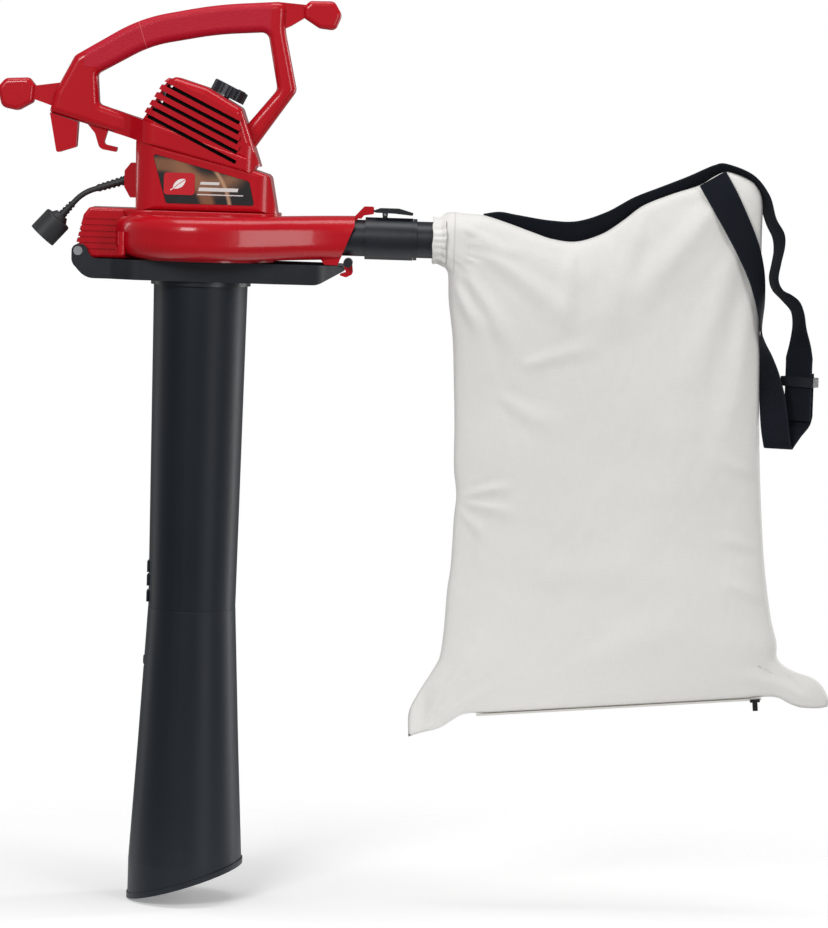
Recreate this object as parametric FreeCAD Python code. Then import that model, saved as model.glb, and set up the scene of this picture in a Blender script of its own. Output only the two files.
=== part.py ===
"""Hand-held electric leaf vacuum and mulcher: power head, suction tubes, collection bag.

Millimetres. +Z runs up the impeller axis and +X runs forward to the outlet and the bag.
The origin is on the impeller axis, in the plane where the inlet frame closes on the
lower volute shell. -Y is the operator's right-hand side.
"""
import FreeCAD, Part
import math
import os

os.makedirs("parts", exist_ok=True)
V = FreeCAD.Vector
X_AXIS = V(1, 0, 0)
Y_AXIS = V(0, 1, 0)
Z_AXIS = V(0, 0, 1)
ORIGIN = V(0, 0, 0)

# ---- driving dimensions ----
RUN_CLEARANCE = 0.05  # radial, pins and shafts in their bores
SLIP_CLEARANCE = 0.3  # parts that slide or lie loosely beside each other
SHELL_WALL = 3.0  # moulded red shells
THREAD_GRIP = 0.2  # radial, between a screw's core and the hole its thread is cut in
HEAD_ROOM = 0.2  # radial, round screw heads
FAR = 1000.0  # longer than anything that is cut

HANDLE_HALF = 16.0  # half the thickness of the handle loop
HANDLE_ROUND = 9.0
CORNER_EXTRA = 1.5  # more wall where a square hollow lies under rounded edges
BODY_HALF = 54.0  # half the width of the motor housing
BAND_HALF = 57.0  # half the width of the rail that wraps the housing
TOWER_HALF = 50.0
TILT = math.radians(26)  # lean of the louvred tower and its dial

VOLUTE_TOP = 62.0
VOLUTE_BOTTOM = 4.0
VOLUTE_SPLIT = 22.0
SCROLL_START = 90.0  # scroll radius at the tongue
SCROLL_GROWTH = 0.095  # mm of radius per degree
SCROLL_ROUND = 20.0
INLET_R = 54.0
DUCT_Y = -40.0  # centre of the outlet duct
DUCT_Z = 38.5
DUCT_R = 27.0
DUCT_END = 190.0

IMPELLER_R = 76.0
SHAFT_R = 4.0
STATOR_R = 41.0
AIR_GAP = 0.5

FRAME_HALF = 66.0
FRAME_TOP = 3.6
FRAME_BOTTOM = -21.0
FRAME_WALL = 3.0
HINGE_X = -149.5
HINGE_Z = 12.5
HINGE_PIN_R = 4.0
HINGE_HUB_R = 8.0
LATCH_X = 183.0
LATCH_Z = 7.6
LATCH_PIN_R = 2.5

TUBE_TOP_R = 58.4
TUBE_JOINT_R = 54.4
TUBE_WALL = 2.4
TUBE_JOINT_Z = -430.0
SPIGOT_R = 51.5
SPIGOT_LENGTH = 100.0
NOZZLE_R = 71.0
NOZZLE_END = -797.0
NOZZLE_SLANT = math.radians(18)
BUTTON_Z = -498.0
BUTTON_R = 6.0

ADAPTER_R = 26.0
ADAPTER_END = 262.0
BAG_TUBE_R = 22.5
BAG_TUBE_END = 316.0
PIPE_WALL = 2.2  # adapter's spigot and bag tube

BAG_HALF = 27.0
BAG_WALL = 1.2
WEBBING = 38.0
WEBBING_THICK = 1.6

CORD_R = 3.5
PLUG_R = 18.0
PLUG_LENGTH = 30.0
RELIEF_R = 6.0


# ---- shape helpers ----
def xz(x, z, y=0.0):
    return V(x, y, z)


def outline(corners, place):
    """Closed wire through (a, b, radius) corners, each rounded by a tangent arc."""
    count = len(corners)
    spots = [place(c[0], c[1]) for c in corners]
    edges = []
    starts = []
    ends = []
    middles = []
    for i, (_, _, radius) in enumerate(corners):
        here = spots[i]
        arrive = (here - spots[i - 1]).normalize()
        leave = (spots[(i + 1) % count] - here).normalize()
        half_turn = arrive.getAngle(leave) / 2
        reach = radius * math.tan(half_turn)
        starts.append(here - arrive * reach)
        ends.append(here + leave * reach)
        inward = leave - arrive
        if radius > 0:
            inward.normalize()
        middles.append(here + inward * (radius / math.cos(half_turn) - radius))
    for i, (_, _, radius) in enumerate(corners):
        if radius > 0:
            edges.append(Part.Arc(starts[i], middles[i], ends[i]).toShape())
        following = (i + 1) % count
        if (starts[following] - ends[i]).Length > 1e-4:
            edges.append(Part.LineSegment(ends[i], starts[following]).toShape())
    return Part.Wire(edges)


def side_face(corners, y=0.0):
    return Part.Face(outline(corners, lambda a, b: V(a, y, b)))


def plan_face(corners, z=0.0):
    return Part.Face(outline(corners, lambda a, b: V(a, b, z)))


def side_prism(corners, y0, y1):
    """Solid between the planes y0 and y1 with an (x, z, radius) outline."""
    return side_face(corners, y0).extrude(V(0, y1 - y0, 0))


def plan_prism(corners, z0, z1):
    """Solid between the planes z0 and z1 with an (x, y, radius) outline."""
    return plan_face(corners, z0).extrude(V(0, 0, z1 - z0))


def inset(face, distance):
    return face.makeOffset2D(-distance) if distance else face


def box(x0, x1, y0, y1, z0, z1):
    return Part.makeBox(x1 - x0, y1 - y0, z1 - z0, V(x0, y0, z0))


def rod(radius, start, end):
    """Cylinder from one point to another."""
    return Part.makeCylinder(radius, (end - start).Length, start, end - start)


def cone(r0, r1, z0, z1):
    if abs(r0 - r1) < 1e-6:
        return Part.makeCylinder(r0, z1 - z0, V(0, 0, z0), Z_AXIS)
    return Part.makeCone(r0, r1, z1 - z0, V(0, 0, z0), Z_AXIS)


def ring(outer, inner, z0, z1):
    return cone(outer, outer, z0, z1).cut(cone(inner, inner, z0, z1))


def round_ends(solid, radius, axis, low, high):
    """Fillet the edges that lie in the two end planes across an axis."""
    edges = []
    for edge in solid.Edges:
        marks = [v.Point.dot(axis) for v in edge.Vertexes]
        if all(abs(m - low) < 1e-4 for m in marks) or all(abs(m - high) < 1e-4 for m in marks):
            edges.append(edge)
    return solid.makeFillet(radius, edges)


def tilted(solid, x, z):
    """Turn a solid built on the Z axis onto the leaning axis and move it to x, z."""
    solid = solid.copy()
    solid.rotate(ORIGIN, Y_AXIS, math.degrees(TILT))
    solid.translate(V(x, 0, z))
    return solid


def save(name, shape):
    size = shape.Volume / 1000
    print(f"{name:24s} {len(shape.Solids):3d} solids {size:9.2f} cm3 valid={shape.isValid()}")
    shape.exportStep("parts/" + name + ".step")


def group(solids):
    return Part.makeCompound(solids)


# ---- handle loop, rail, motor housing: one moulding, split into halves at y = 0 ----
LOOP_OUTER = [
    (-193.0, 181.5, 4), (-186.5, 207.0, 4), (-163.0, 252.5, 10), (-83.0, 301.0, 200),
    (11.0, 320.5, 500), (97.0, 327.0, 10), (96.0, 292.0, 60), (112.5, 217.0, 11),
    (62.0, 144.0, 0), (59.0, 114.0, 0), (-82.0, 150.0, 60), (-158.0, 171.4, 60),
]
LOOP_INNER = [
    (-134.0, 231.0, 6), (-70.0, 267.5, 150), (12.0, 284.0, 400), (75.0, 288.5, 10),
    (88.5, 218.0, 11), (30.0, 146.0, 8), (-78.0, 176.4, 60), (-131.2, 193.5, 6),
]
REAR_HORN = [
    (-213.0, 193.0, 4), (-232.0, 182.0, 12), (-252.0, 186.0, 10), (-258.5, 210.0, 10),
    (-248.0, 222.0, 10), (-219.0, 223.5, 6), (-211.0, 214.0, 4),
]
REAR_NECK = [
    (-180.0, 186.0, 0), (-216.0, 198.0, 0), (-216.0, 213.0, 0), (-176.0, 219.0, 0),
]
FRONT_HORN = [
    (119.0, 307.0, 4), (138.0, 295.0, 10), (158.0, 293.0, 8), (166.0, 312.0, 10),
    (156.0, 329.0, 8), (126.0, 328.5, 6), (118.0, 321.0, 4),
]
FRONT_NECK = [
    (88.0, 290.0, 0), (88.0, 326.0, 0), (122.0, 323.5, 0), (122.0, 309.0, 0), (103.0, 297.0, 0),
]
HORN_HALF = 13.0
HORN_ROUND = 6.0
NECK_HALF = 8.0
MID_SIDE = [
    (-81.0, VOLUTE_TOP + 3.2, 0), (-83.0, 152.0, 3), (66.0, 117.0, 6), (84.0, 111.4, 8),
    (93.0, VOLUTE_TOP + 3.2, 0),
]
MID_PLAN = [
    (-84.0, -BODY_HALF, 28), (96.0, -BODY_HALF, 28), (96.0, BODY_HALF, 28), (-84.0, BODY_HALF, 28),
]
BAND_SIDE = [
    (-112.0, 187.4, 0), (-112.0, 158.5, 0), (-82.0, 150.0, 60), (60.0, 114.0, 6),
    (67.0, 122.0, 4), (60.0, 131.0, 4), (-78.0, 176.4, 60),
]
BAND_PLAN = [
    (-125.0, -HANDLE_HALF + 2, 0), (-95.0, -HANDLE_HALF + 2, 25), (-70.0, -BAND_HALF, 20),
    (72.0, -BAND_HALF, 22), (72.0, BAND_HALF, 22), (-70.0, BAND_HALF, 20),
    (-95.0, HANDLE_HALF - 2, 25), (-125.0, HANDLE_HALF - 2, 0),
]
TOWER_SIDE = [
    (-78.0, 160.0, 0), (-75.0, 176.0, 4), (-48.0, 221.0, 8), (-36.0, 230.0, 8),
    (4.0, 218.0, 30), (46.5, 193.5, 8), (71.0, 122.0, 0),
]
TOWER_PLAN = [
    (-78.0, -TOWER_HALF, 24), (73.0, -TOWER_HALF, 24), (73.0, TOWER_HALF, 24), (-78.0, TOWER_HALF, 24),
]
CORE_SIDE = [
    (-78.0, 96.0, 0), (-78.0, 172.0, 0), (-60.0, 178.0, 0), (52.0, 142.0, 0), (66.0, 128.0, 0),
    (66.0, 96.0, 0),
]


def loop_solid(depth):
    """Handle loop, full size at depth 0, or its cavity at depth = wall."""
    half = HANDLE_HALF - depth
    outer = inset(side_face(LOOP_OUTER, -half), depth)
    inner = inset(side_face(LOOP_INNER, -half), -depth)
    solid = outer.cut(inner).extrude(V(0, 2 * half, 0))
    return solid if depth else round_ends(solid, HANDLE_ROUND, Y_AXIS, -half, half)


def wrapped(side, plan, half, depth, rounding):
    """Side outline seen along Y, limited by a plan outline seen along Z."""
    body = inset(side_face(side, -half + depth), depth).extrude(V(0, 2 * (half - depth), 0))
    if rounding:
        body = round_ends(body, rounding, Y_AXIS, -half + depth, half - depth)
    column = inset(plan_face(plan), depth).extrude(V(0, 0, FAR))
    return body.common(column)


def horns():
    rear = side_prism(REAR_HORN, -HORN_HALF, HORN_HALF)
    rear = round_ends(rear, HORN_ROUND, Y_AXIS, -HORN_HALF, HORN_HALF)
    front = side_prism(FRONT_HORN, -HORN_HALF, HORN_HALF)
    front = round_ends(front, HORN_ROUND, Y_AXIS, -HORN_HALF, HORN_HALF)
    rear_neck = side_prism(REAR_NECK, -NECK_HALF, NECK_HALF)
    front_neck = side_prism(FRONT_NECK, -NECK_HALF, NECK_HALF)
    return rear.fuse([rear_neck]), front.fuse([front_neck])


LOUVRE_COUNT = 5
LOUVRE_PITCH = 11.2
LOUVRE_GAP = 4.6
LOUVRE_FIRST = 130.0  # distance of the lowest slot from the origin along the lean
LOUVRE_DEPTH = 12.0
LOUVRE_PROUD = 2.8  # how far each louvre stands out of the tower
LOUVRE_RIGHT = -18.0  # right-hand end of the lowest louvre, across the leaning axis
LOUVRE_STEP = 0.42  # how much shorter each louvre is, in pitches
LOUVRE_REAR = -175.0


def louvre_right(i):
    """Where a slot ends, across the leaning axis."""
    return LOUVRE_RIGHT - LOUVRE_STEP * i * LOUVRE_PITCH


def louvre_bars():
    """Rounded bars above the slots, proud of the tower all round its rear."""
    proud = wrapped(TOWER_SIDE, TOWER_PLAN, TOWER_HALF, -LOUVRE_PROUD, 2)
    bars = []
    for i in range(LOUVRE_COUNT):
        low = LOUVRE_FIRST + i * LOUVRE_PITCH + LOUVRE_GAP
        bar = box(LOUVRE_REAR, louvre_right(i), -FAR, FAR, low, low + LOUVRE_PITCH - LOUVRE_GAP)
        bars.append(proud.common(tilted(bar, 0, 0)))
    return bars


def louvre_slots():
    """Leaning slots through both sides of the tower, open at its rear edge."""
    slots = []
    for i in range(LOUVRE_COUNT):
        along = LOUVRE_FIRST + i * LOUVRE_PITCH
        right = louvre_right(i)
        for side in (-1, 1):
            inner = side * (TOWER_HALF - LOUVRE_DEPTH)
            outer = side * (TOWER_HALF + LOUVRE_DEPTH)
            y0 = min(inner, outer)
            slot = box(LOUVRE_REAR, right, y0, y0 + 2 * LOUVRE_DEPTH, along, along + LOUVRE_GAP)
            slots.append(tilted(slot, 0, 0))
    return slots


BOSS_CENTRE_Z = 100.5
RELIEF_START = xz(-95.7, BOSS_CENTRE_Z)
RELIEF_DROP = math.radians(18)
RELIEF_LINE = V(-math.cos(RELIEF_DROP), 0, -math.sin(RELIEF_DROP))
CORD_BOSS = [
    (-80.0, 122.0, 0), (-90.0, 122.0, 0), (-97.5, 112.0, 0), (-97.5, 92.0, 0),
    (-90.0, 79.0, 0), (-80.0, 79.0, 0),
]
CORD_BOSS_HALF = 15.0

WINDOW = [(-61.0, 135.0, 3), (59.0, 104.0, 6), (66.0, 74.0, 3), (-43.0, 74.0, 3)]
WINDOW_DEPTH = 2.0

SCREW_SPOTS = [(-150.0, 225.0), (-20.0, 300.0), (88.0, 305.0), (100.0, 214.0), (-172.0, 192.0)]
BODY_SCREW_SPOTS = [(-70.0, 98.0), (78.0, 98.0), (-55.0, 205.0)]
SCREW_R = 1.9
SCREW_HEAD_R = 3.6
SCREW_BOSS_R = 5.0
HEAD_POCKET = 3.2  # depth of the pocket a screw head lies in

DIAL_X = 25.5
DIAL_Z = 206.5
DIAL_R = 22.5
DIAL_HEIGHT = 15.0
DIAL_STEM_R = 3.5


def motor_housing():
    """Outer solid and hollow of the one-piece housing, before it is split."""
    loop = loop_solid(0)
    mid = wrapped(MID_SIDE, MID_PLAN, BODY_HALF, 0, 6)
    band = wrapped(BAND_SIDE, BAND_PLAN, BAND_HALF, 0, 3)
    tower = wrapped(TOWER_SIDE, TOWER_PLAN, TOWER_HALF, 0, 10)
    rear, front = horns()
    boss = side_prism(CORD_BOSS, -CORD_BOSS_HALF, CORD_BOSS_HALF)
    outer = loop.fuse([mid, band, tower, rear, front, boss] + louvre_bars())
    hollow = loop_solid(SHELL_WALL + CORNER_EXTRA)
    hollow = hollow.fuse([
        wrapped(MID_SIDE, MID_PLAN, BODY_HALF, SHELL_WALL, 0),
        wrapped(BAND_SIDE, BAND_PLAN, BAND_HALF, SHELL_WALL + 2, 0),
        wrapped(TOWER_SIDE, TOWER_PLAN, TOWER_HALF, SHELL_WALL, 0),
        inset(plan_face(MID_PLAN, VOLUTE_TOP), SHELL_WALL + 1).extrude(V(0, 0, 2 * SHELL_WALL + 2)),
        wrapped(CORE_SIDE, TOWER_PLAN, TOWER_HALF, SHELL_WALL + 1, 0),
    ])
    return outer, hollow


def y_row(radius, spots, y0, y1):
    """One cylinder along Y at each (x, z) spot."""
    return [rod(radius, xz(x, z, y0), xz(x, z, y1)) for x, z in spots]


def housing_halves():
    outer, hollow = motor_housing()
    bosses = y_row(SCREW_BOSS_R, SCREW_SPOTS, -HANDLE_HALF + 2, HANDLE_HALF - 2)
    bosses += y_row(SCREW_BOSS_R, BODY_SCREW_SPOTS, -TOWER_HALF + 2, TOWER_HALF - 2)
    shell = outer.cut(hollow.cut(group(bosses)))
    stem = tilted(rod(DIAL_STEM_R + RUN_CLEARANCE, V(0, 0, -15), V(0, 0, 15)), DIAL_X, DIAL_Z)
    seat = tilted(rod(DIAL_R + 1, V(0, 0, 0), V(0, 0, DIAL_HEIGHT + 5)), DIAL_X, DIAL_Z)
    relief = rod(RELIEF_R + 0.1, xz(-79.0, 105.9), xz(-101.0, 98.8))
    tools = louvre_slots() + [stem, seat, relief]
    tools += y_row(SCREW_R, SCREW_SPOTS, -HANDLE_HALF + 4, HANDLE_HALF)
    tools += y_row(SCREW_HEAD_R + HEAD_ROOM, SCREW_SPOTS, HANDLE_HALF - HEAD_POCKET, FAR)
    tools += y_row(SCREW_R, BODY_SCREW_SPOTS, -TOWER_HALF + 6, BODY_HALF)
    tools += y_row(SCREW_HEAD_R + HEAD_ROOM, BODY_SCREW_SPOTS, TOWER_HALF - HEAD_POCKET, FAR)
    for side in (-1, 1):
        inner = side * (BODY_HALF - WINDOW_DEPTH)
        tools.append(side_prism(WINDOW, min(inner, side * FAR), max(inner, side * FAR)))
    shell = shell.cut(tools)
    right = shell.common(box(-FAR, FAR, -FAR, 0, -FAR, FAR))
    left = shell.common(box(-FAR, FAR, 0, FAR, -FAR, FAR))
    return left, right


housing_left, housing_right = housing_halves()
save("housing_left", housing_left)
save("housing_right", housing_right)


# ---- volute: scroll, outlet duct, rear grip block ----
GRIP_BLOCK_SIDE = [
    (-153.5, 21.5, 5), (-145.0, 57.0, 5), (-138.0, 66.0, 4), (-82.0, 66.0, 0),
    (-82.0, VOLUTE_BOTTOM, 0), (-141.0, VOLUTE_BOTTOM, 8),
]
GRIP_BLOCK_HALF = 39.0
GROOVE_COUNT = 6
GROOVE_PITCH = 7.4
GROOVE_LOW = 13.0
GROOVE_GAP = 2.2
GROOVE_DEPTH = 1.6
TOP_PLATE = [
    (-100.0, -62.0, 40), (97.0, -62.0, 30), (97.0, 62.0, 30), (-100.0, 62.0, 40),
]
LUG_SIDE = [
    (146.0, 16.0, 0), (154.0, VOLUTE_BOTTOM + 0.5, 2), (181.0, VOLUTE_BOTTOM + 0.3, 1),
    (190.0, 2.0, 4), (189.0, 12.5, 3), (182.0, 22.0, 0),
]
LUG_HALF = 15.0
LATCH_SLOT_HALF = 9.0
TAB_TOP = 77.5
TAB_SIDE = [
    (185.0, 60.0, 0), (201.0, TAB_TOP, 2), (213.0, TAB_TOP, 2), (213.0, 68.5, 1), (201.0, 66.5, 0),
    (196.0, 60.0, 0),
]
TAB_HALF = 9.0
TONGUE_HALF = 6.0
TONGUE_TOP = 73.5

SPIGOT_BORE = 22.8
TONGUE = -30.0  # degrees, where the scroll begins
LOWER_BEARING_R = 11.0
LOWER_BEARING_Z = 64.0
LOWER_BEARING_TOP = LOWER_BEARING_Z + 7
BEARING_FIT = 0.02  # radial, outer race in its pocket
PLUNGER_X = -125.0
PLUNGER_R = 2.5
VOLUTE_SCREW_ANGLES = (25, 80, 135, 215)
HEAD_LEVEL = 9.0  # from the split of the volute down to the seat of a screw head


def scroll_section(angle, radius, depth):
    """D-shaped section of the scroll in the plane that holds Z and the given direction."""
    a = math.radians(angle)
    along = V(math.cos(a), math.sin(a), 0)
    corner = SCROLL_ROUND - depth
    low = VOLUTE_BOTTOM + 2 + depth
    high = VOLUTE_TOP - 2 - depth
    corners = [
        (30.0, low, 0), (radius - depth, low, corner), (radius - depth, high, corner), (30.0, high, 0),
    ]
    return outline(corners, lambda r, z: along * r + V(0, 0, z))


def duct_section(x, centre_y, centre_z, half_y, half_z, corner, depth):
    """Rounded rectangle across the duct at x, drawn inward by the depth."""
    corners = [
        (centre_y - half_y + depth, centre_z - half_z + depth, corner - depth),
        (centre_y - half_y + depth, centre_z + half_z - depth, corner - depth),
        (centre_y + half_y - depth, centre_z + half_z - depth, corner - depth),
        (centre_y + half_y - depth, centre_z - half_z + depth, corner - depth),
    ]
    return outline(corners, lambda b, z: V(x, b, z))


def scroll_radius(angle):
    return SCROLL_START + SCROLL_GROWTH * (angle - TONGUE)


def volute_screw_spots():
    spots = []
    for angle in VOLUTE_SCREW_ANGLES:
        reach = scroll_radius(angle) + 2.5
        spots.append((reach * math.cos(math.radians(angle)), reach * math.sin(math.radians(angle))))
    return spots


def scroll_solid(depth):
    """Scroll loft from the tongue round to the front, then the duct, at an inward depth."""
    angles = [TONGUE + i * (270 - TONGUE) / 9 for i in range(10)]
    scroll = Part.makeLoft([scroll_section(a, scroll_radius(a), depth) for a in angles], True, False)
    front = scroll_radius(270)
    middle_z = (VOLUTE_TOP + VOLUTE_BOTTOM) / 2
    half_z = (VOLUTE_TOP - VOLUTE_BOTTOM) / 2 - 2
    half_y = (front - 34.0) / 2
    duct = Part.makeLoft(
        [
            duct_section(0, half_y - front, middle_z, half_y, half_z, SCROLL_ROUND, depth),
            duct_section(55, half_y - front + 8, middle_z + 1, half_y - 3, half_z, SCROLL_ROUND, depth),
            duct_section(125, DUCT_Y - 9, DUCT_Z - 2, DUCT_R + 4, DUCT_R, SCROLL_ROUND + 1, depth),
            duct_section(DUCT_END, DUCT_Y, DUCT_Z, DUCT_R, DUCT_R, SCROLL_ROUND + 2, depth),
        ],
        True,
        False,
    )
    hub = ring(SCROLL_START - depth, 1.0, VOLUTE_BOTTOM + depth, VOLUTE_TOP - depth)
    return scroll.fuse([duct, hub])


def grip_block(depth):
    """Ribbed block at the rear of the volute, or its hollow."""
    half = GRIP_BLOCK_HALF - depth
    side = inset(side_face(GRIP_BLOCK_SIDE, -half), depth)
    block = side.extrude(V(0, 2 * half, 0))
    if depth:
        return block
    block = round_ends(block, 4, Y_AXIS, -half, half)
    grooves = []
    for i in range(GROOVE_COUNT):
        z = GROOVE_LOW + i * GROOVE_PITCH
        slice_ = box(-170.0, -104.0, -half - 10, half + 10, z, z + GROOVE_GAP)
        rear = -150.5 + 0.84 * i
        core = box(rear, -80.0, -half + GROOVE_DEPTH, half - GROOVE_DEPTH, 0, FAR)
        grooves.append(slice_.cut(core))
    return block.cut(grooves)


def volute_shells():
    outer = scroll_solid(0)
    plate = plan_prism(TOP_PLATE, VOLUTE_TOP - 4, VOLUTE_TOP + 3)
    plate = round_ends(plate, 1.5, Z_AXIS, FAR, VOLUTE_TOP + 3)
    foot = ring(INLET_R + 24, INLET_R, VOLUTE_BOTTOM, VOLUTE_BOTTOM + 6)
    lug = side_prism(LUG_SIDE, DUCT_Y - LUG_HALF, DUCT_Y + LUG_HALF)
    tab = side_prism(TAB_SIDE, DUCT_Y - TAB_HALF, DUCT_Y + TAB_HALF)
    slot_low = DUCT_Y - TONGUE_HALF - 0.6
    slot_high = DUCT_Y + TONGUE_HALF + 0.6
    tab = tab.cut([
        box(203.0, FAR, slot_low, slot_high, 0, TONGUE_TOP + 0.5),
        box(203.0, 211.0, slot_low, slot_high, 0, FAR),
    ])
    outer = outer.fuse([plate, foot, lug, tab, grip_block(0)])
    # sloping mouth of the duct: longer on top than below
    mouth = box(0, 60.0, -80, 80, -60, 60)
    mouth.rotate(ORIGIN, Y_AXIS, 22)
    mouth.translate(V(DUCT_END - 6, DUCT_Y, DUCT_Z))
    mouth = mouth.cut(box(-FAR, FAR, -FAR, FAR, DUCT_Z + DUCT_R - 3, FAR))
    inner = scroll_solid(SHELL_WALL)
    passage = rod(SPIGOT_BORE, V(DUCT_END - 60, DUCT_Y, DUCT_Z), V(DUCT_END + 60, DUCT_Y, DUCT_Z))
    block_hollow = grip_block(SHELL_WALL + 1.5).cut(rod(SCROLL_START + 16, V(0, 0, -FAR), V(0, 0, FAR)))
    pocket_r = LOWER_BEARING_R + BEARING_FIT
    bearing_seat = ring(LOWER_BEARING_R + 3, SHAFT_R + 1.5, VOLUTE_TOP - 6, LOWER_BEARING_Z)
    bearing_wall = ring(LOWER_BEARING_R + 3, pocket_r, LOWER_BEARING_Z, LOWER_BEARING_TOP)
    inner = inner.cut(ring(LOWER_BEARING_R + 3, 0.5, VOLUTE_TOP - 6, VOLUTE_TOP))
    shell = outer.cut([inner, passage, block_hollow, rod(INLET_R, V(0, 0, -FAR), V(0, 0, 12))])
    bearing_pocket = rod(pocket_r, V(0, 0, LOWER_BEARING_Z), V(0, 0, FAR))
    shell = shell.cut([mouth, bearing_pocket, rod(SHAFT_R + 1.5, V(0, 0, 0), V(0, 0, FAR))])
    shell = shell.fuse([bearing_seat, bearing_wall])
    pin = rod(HINGE_PIN_R + RUN_CLEARANCE, xz(HINGE_X, HINGE_Z, -FAR), xz(HINGE_X, HINGE_Z, FAR))
    latch_pin = rod(LATCH_PIN_R + RUN_CLEARANCE, xz(LATCH_X, LATCH_Z, -FAR), xz(LATCH_X, LATCH_Z, FAR))
    slot = box(173.5, 200.0, DUCT_Y - LATCH_SLOT_HALF, DUCT_Y + LATCH_SLOT_HALF, -20.0, 20.0)
    plunger = rod(PLUNGER_R + RUN_CLEARANCE, V(PLUNGER_X, 0, -20), V(PLUNGER_X, 0, 20))
    shell = shell.cut([pin, latch_pin, slot, plunger])
    upper = shell.common(box(-FAR, FAR, -FAR, FAR, VOLUTE_SPLIT, FAR))
    lower = shell.common(box(-FAR, FAR, -FAR, FAR, -FAR, VOLUTE_SPLIT))
    spots = volute_screw_spots()
    screws = [rod(SCREW_R, V(x, y, 0), V(x, y, VOLUTE_SPLIT + 14)) for x, y in spots]
    heads = [
        rod(SCREW_HEAD_R + HEAD_ROOM, V(x, y, -FAR), V(x, y, VOLUTE_SPLIT - HEAD_LEVEL)) for x, y in spots
    ]
    bosses = [
        rod(SCREW_BOSS_R, V(x, y, VOLUTE_SPLIT - 12), V(x, y, VOLUTE_SPLIT + 16)) for x, y in spots
    ]
    below = box(-FAR, FAR, -FAR, FAR, -FAR, VOLUTE_SPLIT)
    upper = upper.fuse([b.cut(below).cut(inner) for b in bosses]).cut(screws)
    lower = lower.fuse([b.common(below).cut(inner) for b in bosses]).cut(screws + heads)
    return upper, lower


volute_upper, volute_lower = volute_shells()
save("volute_upper", volute_upper)
save("volute_lower", volute_lower)


# ---- labels in the side windows ----
LABEL_CLEARANCE = 0.4
LABEL_THICK = 1.2
BADGE = [(-46.0, 112.0, 4), (-8.0, 112.0, 4), (-8.0, 85.0, 4), (-46.0, 85.0, 4)]
BADGE_THICK = 0.8

for side, name in ((-1, "right"), (1, "left")):
    back = side * (BODY_HALF - WINDOW_DEPTH)
    front = back + side * LABEL_THICK
    face = inset(side_face(WINDOW, back), LABEL_CLEARANCE)
    save("label_" + name, face.extrude(V(0, front - back, 0)))
    save("badge_" + name, side_face(BADGE, front).extrude(V(0, side * BADGE_THICK, 0)))


# ---- cord keeper block and hook under the rail ----
KEEPER_SIDE = [
    (-192.0, 181.0, 0), (-157.0, 170.5, 0), (-158.5, 139.5, 3), (-182.5, 131.5, 3),
]
KEEPER_HALF = 14.0
KEEPER_SLOT_HALF = 4.5
HOOK_SIDE = [
    (-147.0, 170.0, 0), (-120.0, 162.0, 0), (-125.0, 144.0, 4), (-107.5, 140.5, 1.5),
    (-109.0, 134.5, 1.5), (-130.0, 138.0, 9), (-136.0, 157.0, 8),
]
HOOK_HALF = 7.0


def under_rail(solid):
    """Trim a block to the underside of the handle rail."""
    rail = side_prism(LOOP_OUTER, -HANDLE_HALF - 5, HANDLE_HALF + 5)
    return solid.cut(rail)


keeper = side_prism(KEEPER_SIDE, -KEEPER_HALF, KEEPER_HALF)
keeper = under_rail(keeper)
keeper = keeper.cut(box(-168.0, -150.0, -KEEPER_SLOT_HALF, KEEPER_SLOT_HALF, 125.0, 165.0))
save("cord_keeper", keeper)
save("cord_hook", under_rail(side_prism(HOOK_SIDE, -HOOK_HALF, HOOK_HALF)))


# ---- speed dial ----
LOBE_COUNT = 12
LOBE_R = 3.2


def speed_dial():
    body = rod(DIAL_R, V(0, 0, 1.0), V(0, 0, DIAL_HEIGHT))
    body = body.makeFillet(1.6, [e for e in body.Edges if e.BoundBox.ZMin > DIAL_HEIGHT - 0.1])
    cuts = []
    for i in range(LOBE_COUNT):
        a = 2 * math.pi * i / LOBE_COUNT
        spot = V((DIAL_R + 1.0) * math.cos(a), (DIAL_R + 1.0) * math.sin(a), 0)
        cuts.append(rod(LOBE_R, spot, spot + V(0, 0, DIAL_HEIGHT + 2)))
    stem = rod(DIAL_STEM_R, V(0, 0, -12.0), V(0, 0, 2.0))
    pointer = box(9.0, DIAL_R - 4, -1.2, 1.2, DIAL_HEIGHT - 0.2, DIAL_HEIGHT + 1.0)
    return tilted(body.cut(cuts).fuse([stem, pointer]), DIAL_X, DIAL_Z)


def speed_switch():
    body = box(-15.0, 15.0, -11.0, 11.0, -26.0, -5.5)
    return tilted(body.cut(rod(DIAL_STEM_R + RUN_CLEARANCE, V(0, 0, -12.5), V(0, 0, 0))), DIAL_X, DIAL_Z)


save("speed_dial", speed_dial())
save("speed_switch", speed_switch())


# ---- motor ----
STATOR_LOW = 100.0
STATOR_HIGH = 148.0
ARMATURE_R = 23.5
ARMATURE_SLOTS = 12
POLE_GAP = 14.0
UPPER_BEARING_R = 9.0
UPPER_BEARING_Z = 176.0
SHAFT_TOP = 181.0
SHAFT_BOTTOM = 20.0
COMMUTATOR_R = 12.0
COMMUTATOR_LOW = 156.0
COMMUTATOR_HIGH = 171.0
BRUSH_Z = 163.5
BRUSH_WIDE = 3.0  # half width of a brush
BRUSH_TALL = 4.0  # half height of a brush
BRUSH_BACK = 27.0
HOLDER_FLOOR = 36.5


def winding_arcs(low, high):
    """Two end turns of the field coils, one over each pole."""
    whole = ring(STATOR_R - 4, ARMATURE_R + 3, low, high)
    half_gap = 8.0
    left = whole.common(box(-FAR, FAR, half_gap, FAR, -FAR, FAR))
    right = whole.common(box(-FAR, FAR, -FAR, -half_gap, -FAR, FAR))
    return [left, right]


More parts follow.
